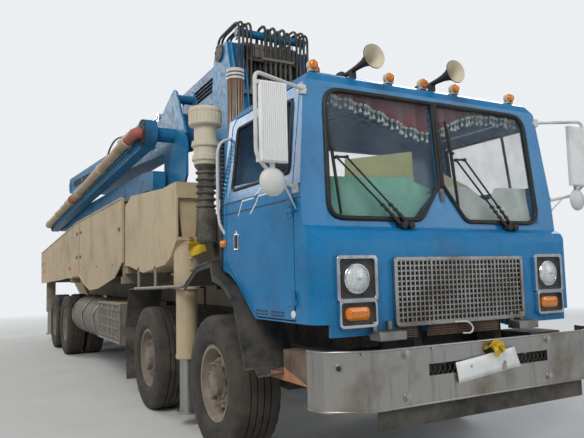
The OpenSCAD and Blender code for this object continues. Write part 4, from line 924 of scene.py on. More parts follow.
inside = Work()
outside = Work()
HORN_BELL = [(0.0, 0.086), (0.006, 0.088), (0.012, 0.080), (0.040, 0.058), (0.080, 0.040), (0.130, 0.027),
             (0.200, 0.020), (0.300, 0.017), (0.380, 0.016)]
for x in (-0.60, 0.14):
    place = (x, 0.085, ROOF_Z + 0.085)
    tilt = Vector((0.0, 1.0, -0.08)).normalized()
    outside.turned(place, tilt, HORN_BELL, 32, caps=False)
    inside.turned(place, tilt, [(-0.001, 0.086), (0.004, 0.078), (0.040, 0.054), (0.075, 0.036),
                                (0.10, 0.020), (0.1, 0.0005)], 32, caps=False)
    outside.turned((x, 0.47, ROOF_Z + 0.055), tilt, [
        (-0.02, 0.02), (0.0, 0.042), (0.03, 0.046), (0.05, 0.02)], 20)
    outside.box(x - 0.02, x + 0.02, 0.33, 0.37, ROOF_Z - 0.002, ROOF_Z + 0.055)
    outside.box(x - 0.012, x + 0.012, 0.47, 0.52, ROOF_Z - 0.002, ROOF_Z + 0.03)
outside.make("horn_trumpets", FRAME_PAINT, "cab", angle=50)
inside.make("horn_bells", CREAM, "cab", angle=50)
print("lamps 7, horns 2")

# %% [markdown]
# The cab's face has two lamp units in chromed frames with dark insets, and a wide
# grille of thin mesh in a bright frame. The mesh is a lattice of real bars over a
# black sheet of painted shade, so that its cells stay dark and deep from any side.

# %% lamp units and grille
LAMP_Z = 1.352
PLATE_STEPS = 6


def frame_plate(work, outer, inner, y0, y1, radius_out, radius_in):
    """A plate with one rounded opening; both outlines are (x0, x1, z0, z1)."""
    out = rounded_box(*outer, radius_out, PLATE_STEPS)
    into = rounded_box(*inner, radius_in, PLATE_STEPS)
    work.ring([[(x, y, z) for x, z in line] for line, y in ((out, y0), (into, y0), (into, y1), (out, y1))],
              closed=True)


for side, word in SIDES:
    low, high = sorted((side * 0.724, side * 1.029))
    middle = (low + high) / 2
    bright = Work()
    frame_plate(bright, (low, high, 1.214, 1.497), (low + 0.022, high - 0.022, 1.232, 1.475),
                -0.034, -0.002, 0.03, 0.02)
    frame_plate(bright, (low + 0.012, high - 0.012, 1.052, 1.222), (low + 0.026, high - 0.026, 1.070, 1.206),
                -0.037, -0.004, 0.03, 0.02)
    bright.turned((middle, -0.012, LAMP_Z), "y", [
        (-0.014, 0.084), (-0.018, 0.090), (-0.010, 0.096), (0.006, 0.096), (0.006, 0.084)], 48, closed=True)
    bright.make(f"lamp_frame_{word}", CHROME, "cab", soft=0.002)
    inset = Work()
    inset.box(low + 0.018, high - 0.018, -0.006, -0.001, 1.228, 1.478)
    inset.box(low + 0.022, high - 0.022, -0.006, -0.001, 1.066, 1.210)
    inset.turned((middle, -0.010, LAMP_Z), "y", [(-0.004, 0.104), (0.004, 0.112)], 40)
    inset.turned((middle - side * 0.05, -0.012, LAMP_Z - 0.098), "y", [(-0.008, 0.008), (0.0, 0.010)], 8)
    inset.make(f"lamp_inset_{word}", PLASTIC, "cab", soft=0.002)
    lens = Work()
    lens.turned((middle, -0.014, LAMP_Z), "y", [
        (0.006, 0.086), (-0.010, 0.084), (-0.026, 0.062), (-0.035, 0.034), (-0.038, 0.0005)], 48)
    lens.make(f"headlamp_{word}", HEADLAMP, "cab", angle=60, slot="glass")
    bulb = Work()
    bulb.turned((middle, -0.053, LAMP_Z), "y", [(-0.001, 0.001), (0.0, 0.010), (0.004, 0.010)], 12)
    bulb.make(f"headlamp_boss_{word}", STEEL, "cab", angle=60)
    amber = Work()
    loops = []
    for grow, y in ((0.0, -0.006), (0.0, -0.024), (-0.010, -0.032), (-0.03, -0.034)):
        z0, z1 = 1.138 - 0.040 - grow, 1.138 + 0.040 + grow
        outline = rounded_box(middle - 0.088 - grow, middle + 0.088 + grow, z0, z1,
                              min(0.034, (z1 - z0) * 0.45), 5)
        loops.append([(x, y, z) for x, z in outline])
    amber.ring(loops)
    amber.make(f"turn_lamp_{word}", AMBER, "cab", angle=50, slot="amber")

surround = Work()
frame_plate(surround, (-0.592, 0.592, 1.038, 1.484), (-0.566, 0.566, 1.062, 1.460),
            -0.034, -0.002, 0.035, 0.02)
for x, z in ((-0.575, 1.472), (0.575, 1.472), (-0.575, 1.05), (0.575, 1.05), (-0.29, 1.472), (0.0, 1.472),
             (0.29, 1.472), (-0.29, 1.05), (0.29, 1.05)):
    surround.turned((x, -0.034, z), "y", [(-0.006, 0.004), (-0.004, 0.009), (0.001, 0.009)], 8)
surround_piece = surround.make("grille_surround", ALLOY, "cab", soft=0.003)
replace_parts(surround_piece, "cab_front")
bars = Work()
COLUMNS, ROWS = 31, 12
for k in range(COLUMNS + 1):
    x = -0.568 + 1.136 * k / COLUMNS
    wide = 0.011 if k % 8 else 0.016
    bars.box(x - wide / 2, x + wide / 2, -0.027, -0.020, 1.06, 1.462)
for k in range(ROWS + 1):
    z = 1.062 + 0.398 * k / ROWS
    bars.box(-0.568, 0.568, -0.025, -0.018, z - 0.0045, z + 0.0045)
bars.make("grille_mesh", ALLOY, "cab", merge=False)
# A black sheet behind the bars is painted shade in the grille's openings.
dark = Work()
dark.box(-0.57, 0.57, -0.0025, -0.001, 1.06, 1.462)
dark.make("grille_painted_shade", SEAL, "cab")
print("grille bars", COLUMNS + ROWS + 2)

# %% [markdown]
# Under the grille hang a strip of rusty mesh and two alloy steps. The bumper is one
# brushed sheet with bolts, two slots closed by stretched mesh, an oval towing hole
# with a yellow rag knotted in it, a small tear, and a blank plate that hangs askew.

# %% bumper fittings, steps and plate
treads = Work()
for x0, x1 in ((-0.80, -0.595), (0.41, 0.60)):
    treads.box(x0, x1, -0.135, -0.028, 0.972, 1.024)
    for k in range(9):
        x = x0 + 0.012 + (x1 - x0 - 0.024) * k / 8
        treads.box(x - 0.004, x + 0.004, -0.130, -0.030, 1.024, 1.029)
    treads.box(x0 + 0.03, x0 + 0.06, -0.03, 0.03, 0.99, 1.082)
    treads.box(x1 - 0.06, x1 - 0.03, -0.03, 0.03, 0.99, 1.082)
treads.make("front_steps", ALLOY, "cab", soft=0.004)
strip = Work()
for x0, x1 in ((-0.575, -0.412), (-0.328, 0.328)):  # the cab's pivot lugs stand between them
    count = round((x1 - x0) / 0.0135)
    for k in range(count + 1):
        x = x0 + 0.004 + (x1 - x0 - 0.008) * k / count
        strip.box(x - 0.003, x + 0.003, -0.018, -0.012, 0.970, 1.036)
    for k in range(5):
        z = 0.970 + 0.062 * k / 4
        strip.box(x0 + 0.002, x1 - 0.002, -0.021, -0.015, z - 0.003, z + 0.003)
    strip.box(x0, x1, -0.024, -0.004, 1.034, 1.046)
    for x in (x0 + 0.02, x1 - 0.02):
        strip.box(x - 0.015, x + 0.015, -0.02, 0.028, 1.03, 1.09)
strip.make("rusty_strip", RUST_BROWN, "cab", merge=False)
# A black box with dark edges behind the two bumper slots is painted shade inside the slots.
shadow = Work()
shadow.box(-0.56, 0.56, -0.195, -0.190, 0.742, 0.848)
for z in (0.742, 0.843):
    shadow.box(-0.56, 0.56, -0.2375, -0.195, z, z + 0.005)
for x in (-0.56, 0.555):
    shadow.box(x, x + 0.005, -0.2375, -0.195, 0.747, 0.843)
shadow.make("slot_painted_shade", SEAL, "chassis")
hook = Work()
hook.tube(bend_path([(-0.10, -0.030, 1.045), (0.0, -0.060, 1.045), (0.03, -0.075, 1.00), (0.0, -0.080, 0.968),
                     (-0.07, -0.078, 0.972)], 0.03), 0.006, 8)
hook.make("grille_hook", PALE_METAL, "cab", angle=60)

BUMPER_FACE = -0.25
bolts = Work()
for x in (-0.705, 0.535):
    for z in (0.905, 0.655):
        bolts.turned((x, BUMPER_FACE, z), "y", [
            (-0.020, 0.010), (-0.018, 0.020), (-0.006, 0.020), (-0.006, 0.030), (0.001, 0.032)], 12)
for x, y in ((-1.0, -0.225), (-0.5, BUMPER_FACE), (0.0, BUMPER_FACE), (0.9, BUMPER_FACE)):
    bolts.turned((x, y, 0.922), "y", [(-0.006, 0.004), (-0.005, 0.008), (0.004, 0.009)], 10)
bolts.make("bumper_bolts", STEEL, "chassis", angle=40)
rim_fold = Work()
for z in (0.935, 0.600):
    rim_fold.tube([(-1.218, 0.028, z), (-1.188, -0.110, z), (-1.030, -0.203, z), (-0.90, -0.247, z),
                   (0.90, -0.247, z), (1.030, -0.203, z), (1.188, -0.110, z), (1.218, 0.028, z)], 0.008, 8)
rim_fold.make("bumper_rolled_edges", ALLOY, "chassis", angle=60)
TEAR_PLACE, TEAR_AXIS = (-1.118, -0.156, 0.845), Vector((-0.52, -0.85, 0))
tear = Work()
tear.turned(TEAR_PLACE, TEAR_AXIS, [(-0.004, 0.027), (0.003, 0.024), (0.002, 0.015), (-0.004, 0.014)], 14)
tear.make("bumper_dent_ring", ALLOY, "chassis", angle=70)
# A dark plug in the tear is painted shade for the hole.
hole = Work()
hole.turned(TEAR_PLACE, TEAR_AXIS, [(-0.002, 0.016), (0.007, 0.015)], 12)
hole.make("bumper_hole_painted_shade", SEAL, "chassis")
mesh_work = Work()
for centre in (-0.43, 0.33):
    for k in range(13):
        for lean in (-1, 1):
            x = centre - 0.24 + 0.040 * k
            mesh_work.tube([(x - lean * 0.022, -0.236, 0.752), (x + lean * 0.022, -0.236, 0.838)], 0.003, 5)
mesh_work.make("bumper_stretched_mesh", FRAME_PAINT, "chassis", merge=False)


def thicken(thing, name, thickness):
    thing.modifiers.new(name, "SOLIDIFY").thickness = thickness


corners = [Vector(corner) for corner in ((-0.325, 0.822), (0.199, 0.880), (0.245, 0.748), (-0.308, 0.694))]
rows = []
for j in range(5):
    v = j / 4
    row = []
    for i in range(13):
        u = i / 12
        place = corners[0].lerp(corners[1], u).lerp(corners[3].lerp(corners[2], u), v)
        row.append((place.x, -0.262 - 0.006 * math.sin(3 * u + 2 * v) - 0.012 * (u > 0.93) * v, place.y))
    rows.append(row)
plate = Work()
plate.grid(rows)
thicken(plate.make("blank_plate", WHITE, "chassis", angle=60), "sheet_thickness", 0.0025)
holder = Work()
for x in (-0.2, 0.1):
    holder.box(x - 0.02, x + 0.02, -0.260, -0.248, 0.74, 0.80)
    holder.turned((x, -0.268, 0.79), "y", [(-0.006, 0.003), (-0.004, 0.008), (0.004, 0.008)], 8)
holder.make("plate_holder", STEEL, "chassis")


def rag(name, path, width, body, wave):
    """A strip of cloth that follows a path, twisted and creased."""
    path = bend_path(path, 0.03, 5)
    rows = []
    for k, point in enumerate(path):
        before = path[max(0, k - 1)]
        after = path[min(len(path) - 1, k + 1)]
        along = (after - before).normalized()
        out = along.cross(Vector((0.35, 0.6, 0.7))).normalized()
        lift = along.cross(out)
        turn = 0.5 * k
        side = out * math.cos(turn * 0.3) + lift * math.sin(turn * 0.3)
        row = []
        for i in range(9):
            u = i / 8 - 0.5
            crease = wave * math.sin(5.5 * i + 1.3 * k)
            row.append(point + side * width * u + side.cross(along) * crease)
        rows.append(row)
    work = Work()
    work.grid(rows)
    thing = work.make(name, YELLOW, body, angle=180, merge=False)


rag("tow_rag", [
    (-0.055, -0.235, 0.885), (-0.035, -0.275, 0.900), (0.0, -0.285, 0.925), (0.05, -0.290, 0.905),
    (0.055, -0.280, 0.865), (0.01, -0.290, 0.850), (-0.03, -0.295, 0.88), (0.0, -0.305, 0.91),
    (0.035, -0.300, 0.89), (0.05, -0.27, 0.87)], 0.05, "chassis", 0.007)
print("bumper fittings")

# %% [markdown]
# The mirrors sit in heads of white fluted sheet on bent pale tubes, each with a
# round convex mirror below. The tube is one bent run; the flutes are folded ribs.

# %% mirrors on their tubes
MIRROR_X = 1.40
TUBE_X = 1.512
for side, word in SIDES:
    x = side * MIRROR_X
    tube = Work()
    tube.tube(bend_path([(side * across, y, z) for across, y, z in (
        (1.075, 0.205, 2.58), (TUBE_X, 0.06, 2.60), (TUBE_X, 0.06, 2.09), (MIRROR_X, 0.085, 1.985),
        (1.165, 0.20, 1.93))], 0.05), 0.0125, 12)
    tube.tube([(side * 1.168, 0.205, 1.80), (side * 1.30, 0.13, 1.955)], 0.006, 8)
    tube.side_box(side, 1.085, 1.13, 0.185, 0.224, 2.55, 2.61)
    tube.side_box(side, 1.165, 1.185, 0.165, 0.222, 1.90, 1.96)
    for z in (2.536, 2.062):
        tube.side_box(side, MIRROR_X, TUBE_X, 0.048, 0.062, z - 0.012, z + 0.012)
    tube.box(x - 0.012, x + 0.012, 0.060, 0.085, 1.99, 2.07)
    tube_piece = tube.make(f"mirror_tube_{word}", PALE_METAL, "cab", angle=50)
    if side < 0:
        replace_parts(tube_piece, "mirrors")
    head = Work()
    count = 13
    outline = []
    for k in range(count):
        a = x - 0.088 + 0.176 * k / count
        b = a + 0.176 / count
        outline += [(a + 0.001, 0.034), (a + 0.003, 0.028), (b - 0.003, 0.028), (b - 0.001, 0.034)]
    outline += [(x + across, y) for across, y in (
        (0.09, 0.040), (0.09, 0.066), (0.082, 0.072), (-0.082, 0.072), (-0.09, 0.066), (-0.09, 0.040))]
    head.slab(outline, "z", 2.062, 2.538)
    head.box(x - 0.091, x + 0.091, 0.036, 0.071, 2.055, 2.066)
    head.box(x - 0.091, x + 0.091, 0.036, 0.071, 2.534, 2.544)
    head.make(f"mirror_head_{word}", WHITE, "cab", soft=0.002, angle=25)
    shell = Work()
    shell.turned((x, 0.072, 1.94), "y", [(-0.046, 0.0005), (-0.042, 0.030), (-0.030, 0.062), (-0.012, 0.084),
                                         (0.0, 0.088), (0.002, 0.082)], 32)
    shell.make(f"mirror_round_{word}", PALE_METAL, "cab", angle=50)
    glass = Work()
    glass.box(x - 0.080, x + 0.080, 0.072, 0.075, 2.075, 2.525)
    glass.turned((x, 0.074, 1.94), "y", [(0.0, 0.080), (0.006, 0.055), (0.009, 0.0005)], 32)
    glass.make(f"mirror_glass_{word}", CHROME, "cab", angle=50)
print("mirrors 2")

# %% [markdown]
# The doors carry a recessed handle in a bright frame, a rubber round the window,
# two dark belt lines with pale zigzag strokes of painted highlight, a row of vent
# holes drawn as dark discs of painted shade and a round reflector. Behind each
# door stands a grab tube on the cab's back corner.

# %% door trim, grab tubes and window rubber
BELT_LINES = (1.952, 1.869)


def on_side(side, y, z, lift):
    return (side * (side_x(z) + lift), y, z)


def side_strip(work, side, y0, y1, z, lift=0.0012, half=0.004):
    """A thin strip that lies on the tapering side."""
    levels = (z - half, z + half)
    work.block([on_side(side, y, level, d) for y in (y0, y1) for level in levels for d in (-0.002, lift)])


for side, word in SIDES:
    door = f"door_{word}"
    lines = Work()
    for z in BELT_LINES:
        side_strip(lines, side, 0.245, 1.328, z)
    # The vent holes are flat dark discs, painted shade for the holes; the belt lines are dark stripes.
    for group in range(2):
        for k in range(7):
            y = 0.40 + 0.24 * group + 0.028 * k
            for z in (1.118, 1.140):
                lines.outward(side, (1.171, y, z), [(-0.002, 0.008), (0.0006, 0.008)], 10)
    lines.make(f"door_lines_and_hole_shade_{word}", SEAL, door, merge=False)
    rest = Work()
    for z in BELT_LINES:
        side_strip(rest, side, 0.14, 0.228, z)
        side_strip(rest, side, 1.346, 1.40, z)
    rest.make(f"corner_lines_{word}", SEAL, "cab", merge=False)
    # The pale zigzag strokes on the door are a painted highlight.
    highlight_strokes = Work()
    for route in ([(1.10, 1.835), (1.022, 1.944), (0.829, 1.944), (0.678, 2.02)],
                  [(0.884, 1.833), (0.78, 1.905), (0.745, 1.948), (0.587, 1.949)]):
        for (y0, z0), (y1, z1) in zip(route, route[1:]):
            along = Vector((y1 - y0, z1 - z0)).normalized()
            across = Vector((-along.y, along.x)) * 0.006
            highlight_strokes.block([on_side(side, y + sign * across.x, z + sign * across.y, lift)
                           for y, z in ((y0, z0), (y1, z1)) for sign in (-1, 1) for lift in (-0.001, 0.0014)])
    highlight_strokes.make(f"door_painted_highlight_{word}", WHITE, door, merge=False)

    seal = Work()
    loop = rounded([(0.300, 2.048, 0.05), (1.226, 2.048, 0.05), (1.226, 2.548, 0.05), (0.318, 2.548, 0.05)])
    seal.tube([on_side(side, y, z, 0.0) for y, z in loop], 0.015, 8, closed=True)
    seal.tube([on_side(side, 0.52, 2.05, -0.01), on_side(side, 0.54, 2.545, -0.01)], 0.012, 8)
    seal.make(f"window_rubber_{word}", SEAL, door, angle=60)
    pane = Work()
    pane.add([on_side(side, y, z, -0.012) for y, z in loop], [tuple(range(len(loop)))])
    thicken(pane.make(f"door_glass_{word}", GLASS, door, angle=60, slot="glass"), "pane_thickness", 0.005)

    handle = Work()
    handle.tube([(side * 1.172, y, z) for y, z in rounded_box(1.105, 1.175, 1.585, 1.700, 0.012, 4)],
                0.0075, 8, closed=True)
    handle.outward(side, (1.172, 1.14, 1.72), [(-0.002, 0.014), (0.006, 0.012)], 16)
    handle.make(f"handle_frame_{word}", CHROME, door, angle=60)
    pocket = Work()
    pocket.side_box(side, 1.1695, 1.1735, 1.108, 1.172, 1.590, 1.695)
    pocket.side_box(side, 1.1695, 1.181, 1.126, 1.150, 1.605, 1.685)
    pocket.make(f"handle_pocket_{word}", PLASTIC, door, soft=0.003)
    reflector = Work()
    reflector.outward(side, (1.171, 0.262, 1.135), [
        (-0.001, 0.026), (0.006, 0.024), (0.009, 0.012), (0.0095, 0.0004)])
    reflector.make(f"door_reflector_{word}", WHITE, door, angle=50)
    marker = Work()
    marker.outward(side, (1.168, 1.378, 1.64), [
        (0.0, 0.034), (0.018, 0.032), (0.034, 0.020), (0.037, 0.0004)])
    marker.make(f"side_marker_{word}", AMBER, "cab", angle=50, slot="amber")
    grab = Work()
    grab.tube(bend_path([
        (side * x, y, z) for x, y, z in ((1.10, 1.372, 2.50), (1.19, 1.385, 2.47), (1.215, 1.395, 2.38),
        (1.215, 1.395, 1.90), (1.205, 1.385, 1.79), (1.165, 1.372, 1.72))], 0.05), 0.0125, 12)
    grab.make(f"grab_tube_{word}", PALE_METAL, "cab", angle=60)
    ladder = Work()
    for k in range(30):
        z = 1.46 + 0.034 * k
        ladder.side_box(side, 1.150, 1.178, 1.412, 1.430, z, z + 0.020)
    for x0, x1 in ((1.146, 1.152), (1.176, 1.182)):
        ladder.side_box(side, x0, x1, 1.408, 1.434, 1.45, 2.50)
    ladder.make(f"corner_strip_{word}", FRAME_PAINT, "cab", merge=False)
    hinges = Work()
    for z in (1.19, 1.78):
        hinges.side_box(side, 1.168, 1.176, 0.245, 0.33, z - 0.03, z + 0.03)
        for y in (0.27, 0.31):
            hinges.outward(side, (1.176, y, z), [(-0.002, 0.010), (0.005, 0.008)], 8)
    hinges.make(f"hinge_leaves_{word}", BLUE, door, soft=0.002)
print("door trim")

# %% [markdown]
# The cab is open to the eye through its glass, so it gets two cloth seats, a dark
# dashboard and a wheel. A seat cushion is a crowned closed form: thick in the
# middle, pulled in at its edges, with sewn channels. It is shaped by a formula.

# %% seats, dashboard and steering wheel
SEAMS = (-0.34, 0.34)


def cushion(name, centre, size, tilt, steps=28):
    """A crowned pad: size is width, length and thickness; tilt turns it about X."""
    width, length, thick = size
    work = Work()
    turn = Matrix.Rotation(math.radians(tilt), 3, "X")
    for face in (1, -1):
        rows = []
        for j in range(steps + 1):
            row = []
            for i in range(steps + 1):
                u = math.sin((i / steps - 0.5) * math.pi)
                v = math.sin((j / steps - 0.5) * math.pi)
                round_off = math.sqrt(max(0.0, (1 - u ** 6) * (1 - v ** 6)))
                rise = thick / 2 * round_off * (0.55 + 0.45 * (1 - u * u) * (1 - v * v))
                if face > 0:
                    for seam in SEAMS:
                        rise -= 0.10 * thick * math.exp(-((u - seam) / 0.035) ** 2) * round_off
                        rise -= 0.07 * thick * math.exp(-((v - seam) / 0.03) ** 2) * round_off
                else:
                    rise *= 0.6
                pull = 1 - 0.05 * (1 - abs(v)) * abs(u) - 0.05 * (1 - abs(u)) * abs(v)
                row.append(Vector(centre) + turn @ Vector((u * width / 2 * pull, v * length / 2 * pull,
                                                           face * rise)))
            rows.append(row)
        work.grid(rows)
    work.make(name, SEAT, "cab", angle=180, slot="interior")


SEAT_X = 0.62
for side, word in SIDES:
    x = side * SEAT_X
    cushion(f"seat_cushion_{word}", (x, 0.99, 1.535), (0.48, 0.47, 0.16), 4)
    cushion(f"seat_back_{word}", (x, 1.255, 1.85), (0.46, 0.58, 0.14), 76)
    cushion(f"head_rest_{word}", (x, 1.325, 2.215), (0.27, 0.17, 0.10), 80)
    base = Work()
    base.side_slab(side, [(0.86, 1.1418), (1.15, 1.3683), (1.29, 1.4383), (1.29, 1.47), (0.86, 1.47)],
                   0.43, 0.81)
    for y in (0.80, 1.16):
        base.box(x - 0.2, x + 0.2, y, y + 0.03, 1.44, 1.49)
    base.box(x - 0.22, x + 0.22, 1.275, 1.30, 1.50, 2.10)
    base_piece = base.make(f"seat_base_{word}", CABIN, "cab", soft=0.01)
    if side < 0:
        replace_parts(base_piece, "cab_interior")
panel = Work()
panel.slab([(0.167, 1.44), (0.167, 1.688), (0.25, 1.700), (0.40, 1.700), (0.42, 1.68), (0.40, 1.56),
            (0.36, 1.44)], "x", -1.10, 1.10)
for k in range(4):
    panel.box(-0.16 + 0.08 * k, -0.10 + 0.08 * k, 0.418, 0.424, 1.60, 1.66)
panel.slab([(0.27, 1.69), (0.27, 1.80), (0.30, 1.83), (0.41, 1.80), (0.43, 1.74), (0.42, 1.69)],
           "x", 0.40, 0.84)
panel.make("dashboard", CABIN, "cab", soft=0.012)
dials = Work()
for k in range(3):
    dials.turned((0.50 + 0.12 * k, 0.426, 1.765), Vector((0, 0.93, 0.3)), [
        (-0.012, 0.045), (0.006, 0.045), (0.007, 0.038), (0.001, 0.036), (0.001, 0.0005)], 24)
dials.make("dials", PALE_SHADE, "cab", angle=50, slot="interior")
wheel_work = Work()
WHEEL_AT = Vector((SEAT_X, 0.525, 1.784))
tilt = Matrix.Rotation(math.radians(30), 3, "X")


def on_wheel(t, radius, low=0.0):
    """A point of the tilted steering wheel, at an angle and a distance from its hub."""
    return WHEEL_AT + tilt @ Vector((radius * math.cos(t), radius * math.sin(t), -low))


wheel_work.tube([on_wheel(t, 0.215) for t in full_circle(48)], 0.015, 10, closed=True)
for t in full_circle(3):
    wheel_work.tube([on_wheel(t, 0.03, 0.006), on_wheel(t, 0.21)], [0.016, 0.010], 8, flat=0.5)
wheel_work.turned(WHEEL_AT, tilt @ Vector((0, 0, 1)), [
    (-0.03, 0.036), (0.0, 0.048), (0.012, 0.040), (0.014, 0.0005)], 24)
wheel_work.tube([(SEAT_X, 0.40, 1.60), (SEAT_X, 0.505, 1.755)], [0.036, 0.026], 14)
wheel_work.make("steering_wheel", CABIN, "cab", angle=60)
print("cab inside")

# %% [markdown]
# Twelve ribbed tyres carry the truck. A tyre is one turned profile with four
# grooves, and its shoulders are notched at every third step. The steel discs have
# ten hand holes, ten nuts and a hub. The front discs bulge out, the rear ones in.

# %% tyres and wheels
TYRE_R, RIM_R, BEAD_R, WELL_R = 0.537, 0.285, 0.303, 0.273
TURNS, DISC_TURNS = 96, 80
AXLE_Y = (1.52, 3.42, 9.0, 10.37)
FRONT_X, FRONT_W = 1.0575, 0.385
OUTER_X, INNER_X, REAR_W = 1.094, 0.754, 0.312
REAR_DISC_X = (OUTER_X + INNER_X) / 2
HAND_HOLES = (0.232, 0.200)
NUT = [(-0.004, 0.021), (0.006, 0.021), (0.006, 0.0165), (0.030, 0.0165), (0.032, 0.010), (0.045, 0.010),
       (0.047, 0.006)]
FRONT_DISC = [(-0.02, 0.262), (0.02, 0.258), (0.055, 0.240), (0.070, 0.232), (0.095, 0.200), (0.105, 0.190),
              (0.100, 0.130), (0.100, 0.05)]
REAR_DISC = [(0.105, 0.262), (0.062, 0.258), (0.045, 0.240), (0.035, 0.232), (0.010, 0.200), (0.006, 0.190)]


def tyre_profile(width):
    half = width / 2
    outer = [
        (half * share, radius) for share, radius in ((0.74, 0.290), (0.93, 0.325), (0.985, 0.360),
        (0.975, 0.366), (1, 0.395), (0.995, 0.450), (0.965, 0.462), (0.97, 0.476), (0.93, 0.505),
        (0.88, 0.524), (0.80, 0.533), (0.60, 0.5365))]
    for groove in (0.42, 0.14):
        outer += [(half * groove + step, radius) for step, radius in (
            (0.006, 0.537), (0.004, 0.524), (-0.004, 0.524), (-0.006, 0.537))]
    return outer + [(-step, radius) for step, radius in reversed(outer)]


def add_tyre(work, x, y, width):
    sections = []
    for step, radius in tyre_profile(width):
        ring = []
        for k, angle in enumerate(full_circle(TURNS)):
            r = radius - 0.007 if 0.5 < radius < 0.5362 and k % 3 == 0 else radius
            ring.append((x + step, y + r * math.cos(angle), TYRE_R + r * math.sin(angle)))
        sections.append(ring)
    work.ring(sections, caps=False)
    work.turned((x, y, TYRE_R), "x", [(-width * 0.37, 0.290), (width * 0.37, 0.290)], 48, caps=False)


def add_barrel(work, x, y, bead):
    """The rim's barrel between its two beads."""
    half = bead / 2
    work.turned((x, y, TYRE_R), "x", [
        (-half - 0.012, BEAD_R), (-half, BEAD_R), (-half, RIM_R + 0.004), (half, RIM_R + 0.004),
        (half, BEAD_R), (half + 0.012, BEAD_R), (half + 0.012, WELL_R), (half - 0.036, WELL_R),
        (half - 0.056, 0.251), (-half + 0.078, 0.251), (-half + 0.042, WELL_R), (-half - 0.012, WELL_R)], 64,
        closed=True)


def add_disc(work, x, y, side, profile):
    """A pressed disc: its profile gives (distance outwards, radius); one band has hand holes."""
    points = [(x + side * step, y + r * math.cos(a), TYRE_R + r * math.sin(a))
              for step, r in profile for a in full_circle(DISC_TURNS)]
    faces = []
    for j in range(len(profile) - 1):
        holes = (profile[j][1], profile[j + 1][1]) == HAND_HOLES
        a, b = j * DISC_TURNS, (j + 1) * DISC_TURNS
        for k in range(DISC_TURNS):
            if not (holes and k % 8 < 4):
                after = (k + 1) % DISC_TURNS
                faces.append((a + k, a + after, b + after, b + k))
    work.add(points, faces)


for side, word in SIDES:
    for axle, y in enumerate(AXLE_Y, 1):
        body = f"wheel_{word}_{axle}"
        rubber, steel, hub = Work(), Work(), Work()
        if axle < 3:
            x = side * FRONT_X
            add_tyre(rubber, x, y, FRONT_W)
            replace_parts(rubber.make(f"ribbed_tyre_{word}_{axle}", TYRE, body, angle=40, slot="tyre"),
                        f"tyre_{word}_{axle}")
            add_barrel(steel, x, y, FRONT_W - 0.092)
            add_disc(steel, x, y, side, FRONT_DISC)
            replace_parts(steel.make(f"front_disc_{word}_{axle}", WHEEL, body, angle=40, slot="wheel"),
                        f"rim_{word}_{axle}")
            hub.bolt_circle(side, (FRONT_X + 0.106, y, TYRE_R), 0.1675, 10, NUT, math.pi / 10)
            hub.outward(side, (FRONT_X + 0.09, y, TYRE_R), [
                (0.0, 0.135), (0.02, 0.132), (0.03, 0.105), (0.075, 0.098), (0.080, 0.086),
                (0.082, 0.0005)], 32)
            hub.bolt_circle(side, (FRONT_X + 0.168, y, TYRE_R), 0.085, 6, [(0.0, 0.008), (0.008, 0.007)])
            hub.make(f"front_hub_{word}_{axle}", CASTING, body, angle=40)
            drum = Work()
            drum.outward(side, (FRONT_X - 0.06, y, TYRE_R), [
                (-0.10, 0.20), (-0.10, 0.232), (0.06, 0.232), (0.08, 0.15), (0.08, 0.06)], 40, caps=False)
            drum.make(f"front_drum_{word}_{axle}", FRAME_PAINT, body, angle=40)
        else:
            x = side * REAR_DISC_X
            for twin in (OUTER_X, INNER_X):
                add_tyre(rubber, side * twin, y, REAR_W)
                add_barrel(steel, side * twin, y, REAR_W - 0.082)
            tyres = rubber.make(f"twin_tyres_{word}_{axle}", TYRE, body, angle=40, slot="tyre")
            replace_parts(tyres, f"wheel_pair_{word}_{axle}")
            add_disc(steel, x, y, side, REAR_DISC + [(0.006, 0.110)])
            add_disc(steel, x, y, -side, REAR_DISC + [(0.006, 0.05)])
            steel.make(f"twin_discs_{word}_{axle}", WHEEL, body, angle=40, slot="wheel")
            hub.bolt_circle(side, (REAR_DISC_X + 0.010, y, TYRE_R), 0.1675, 10, NUT, math.pi / 10)
            hub.outward(side, (REAR_DISC_X, y, TYRE_R), [(0.0, 0.135), (0.016, 0.132), (0.024, 0.118),
                                                         (0.190, 0.112), (0.200, 0.100), (0.202, 0.0005)], 32)
            hub.bolt_circle(side, (REAR_DISC_X + 0.198, y, TYRE_R), 0.09, 8, [(0.0, 0.009), (0.010, 0.008)])
            hub.outward(side, (REAR_DISC_X, y, TYRE_R), [
                (-0.18, 0.06), (-0.18, 0.212), (-0.03, 0.212), (-0.02, 0.15)], 40, caps=False)
            hub.make(f"rear_hub_{word}_{axle}", CASTING, body, angle=40)
print("tyres 12")

# %% [markdown]
# The folded boom carries what its work needs: pin covers, long pressure lines held
# by clamps, raised ribs on its outer arm, and pale pipe clamps. The ribs are painted
# a lighter blue than the arm, as a painted highlight. Each piece rides on the arm
# that it is bolted to, so that it follows when the boom unfolds.

# %% pins, lines and ribs of the boom
PIN_1, PIN_2 = Vector((3.05, 3.88)), Vector((12.0, 3.60))
PIN_3, PIN_4 = Vector((4.15, 3.15)), Vector((12.05, 2.65))


def pin_cover(work, side, x, pin, radius):
    """A round keeper plate with six bolts on the end of a boom pin."""
    work.outward(side, (x, *pin), [
        (-0.002, radius), (0.008, radius), (0.010, radius * 0.94), (0.010, 0.0005)], 40)
    work.bolt_circle(side, (x + 0.010, *pin), radius * 0.76, 6, [(-0.001, 0.013), (0.009, 0.012)], 0.3)


def along_arm(x, start, end, share, across):
    """A point beside an arm's pin line: a share of the way, moved across that line."""
    line = end - start
    normal = Vector((-line.y, line.x)).normalized()
    if normal.y < 0:
        normal = -normal
    place = start + line * share + normal * across
    return Vector((x, place.x, place.y))


def outer_arm(x, share, across):
    return along_arm(x, PIN_3, PIN_4, share, across)


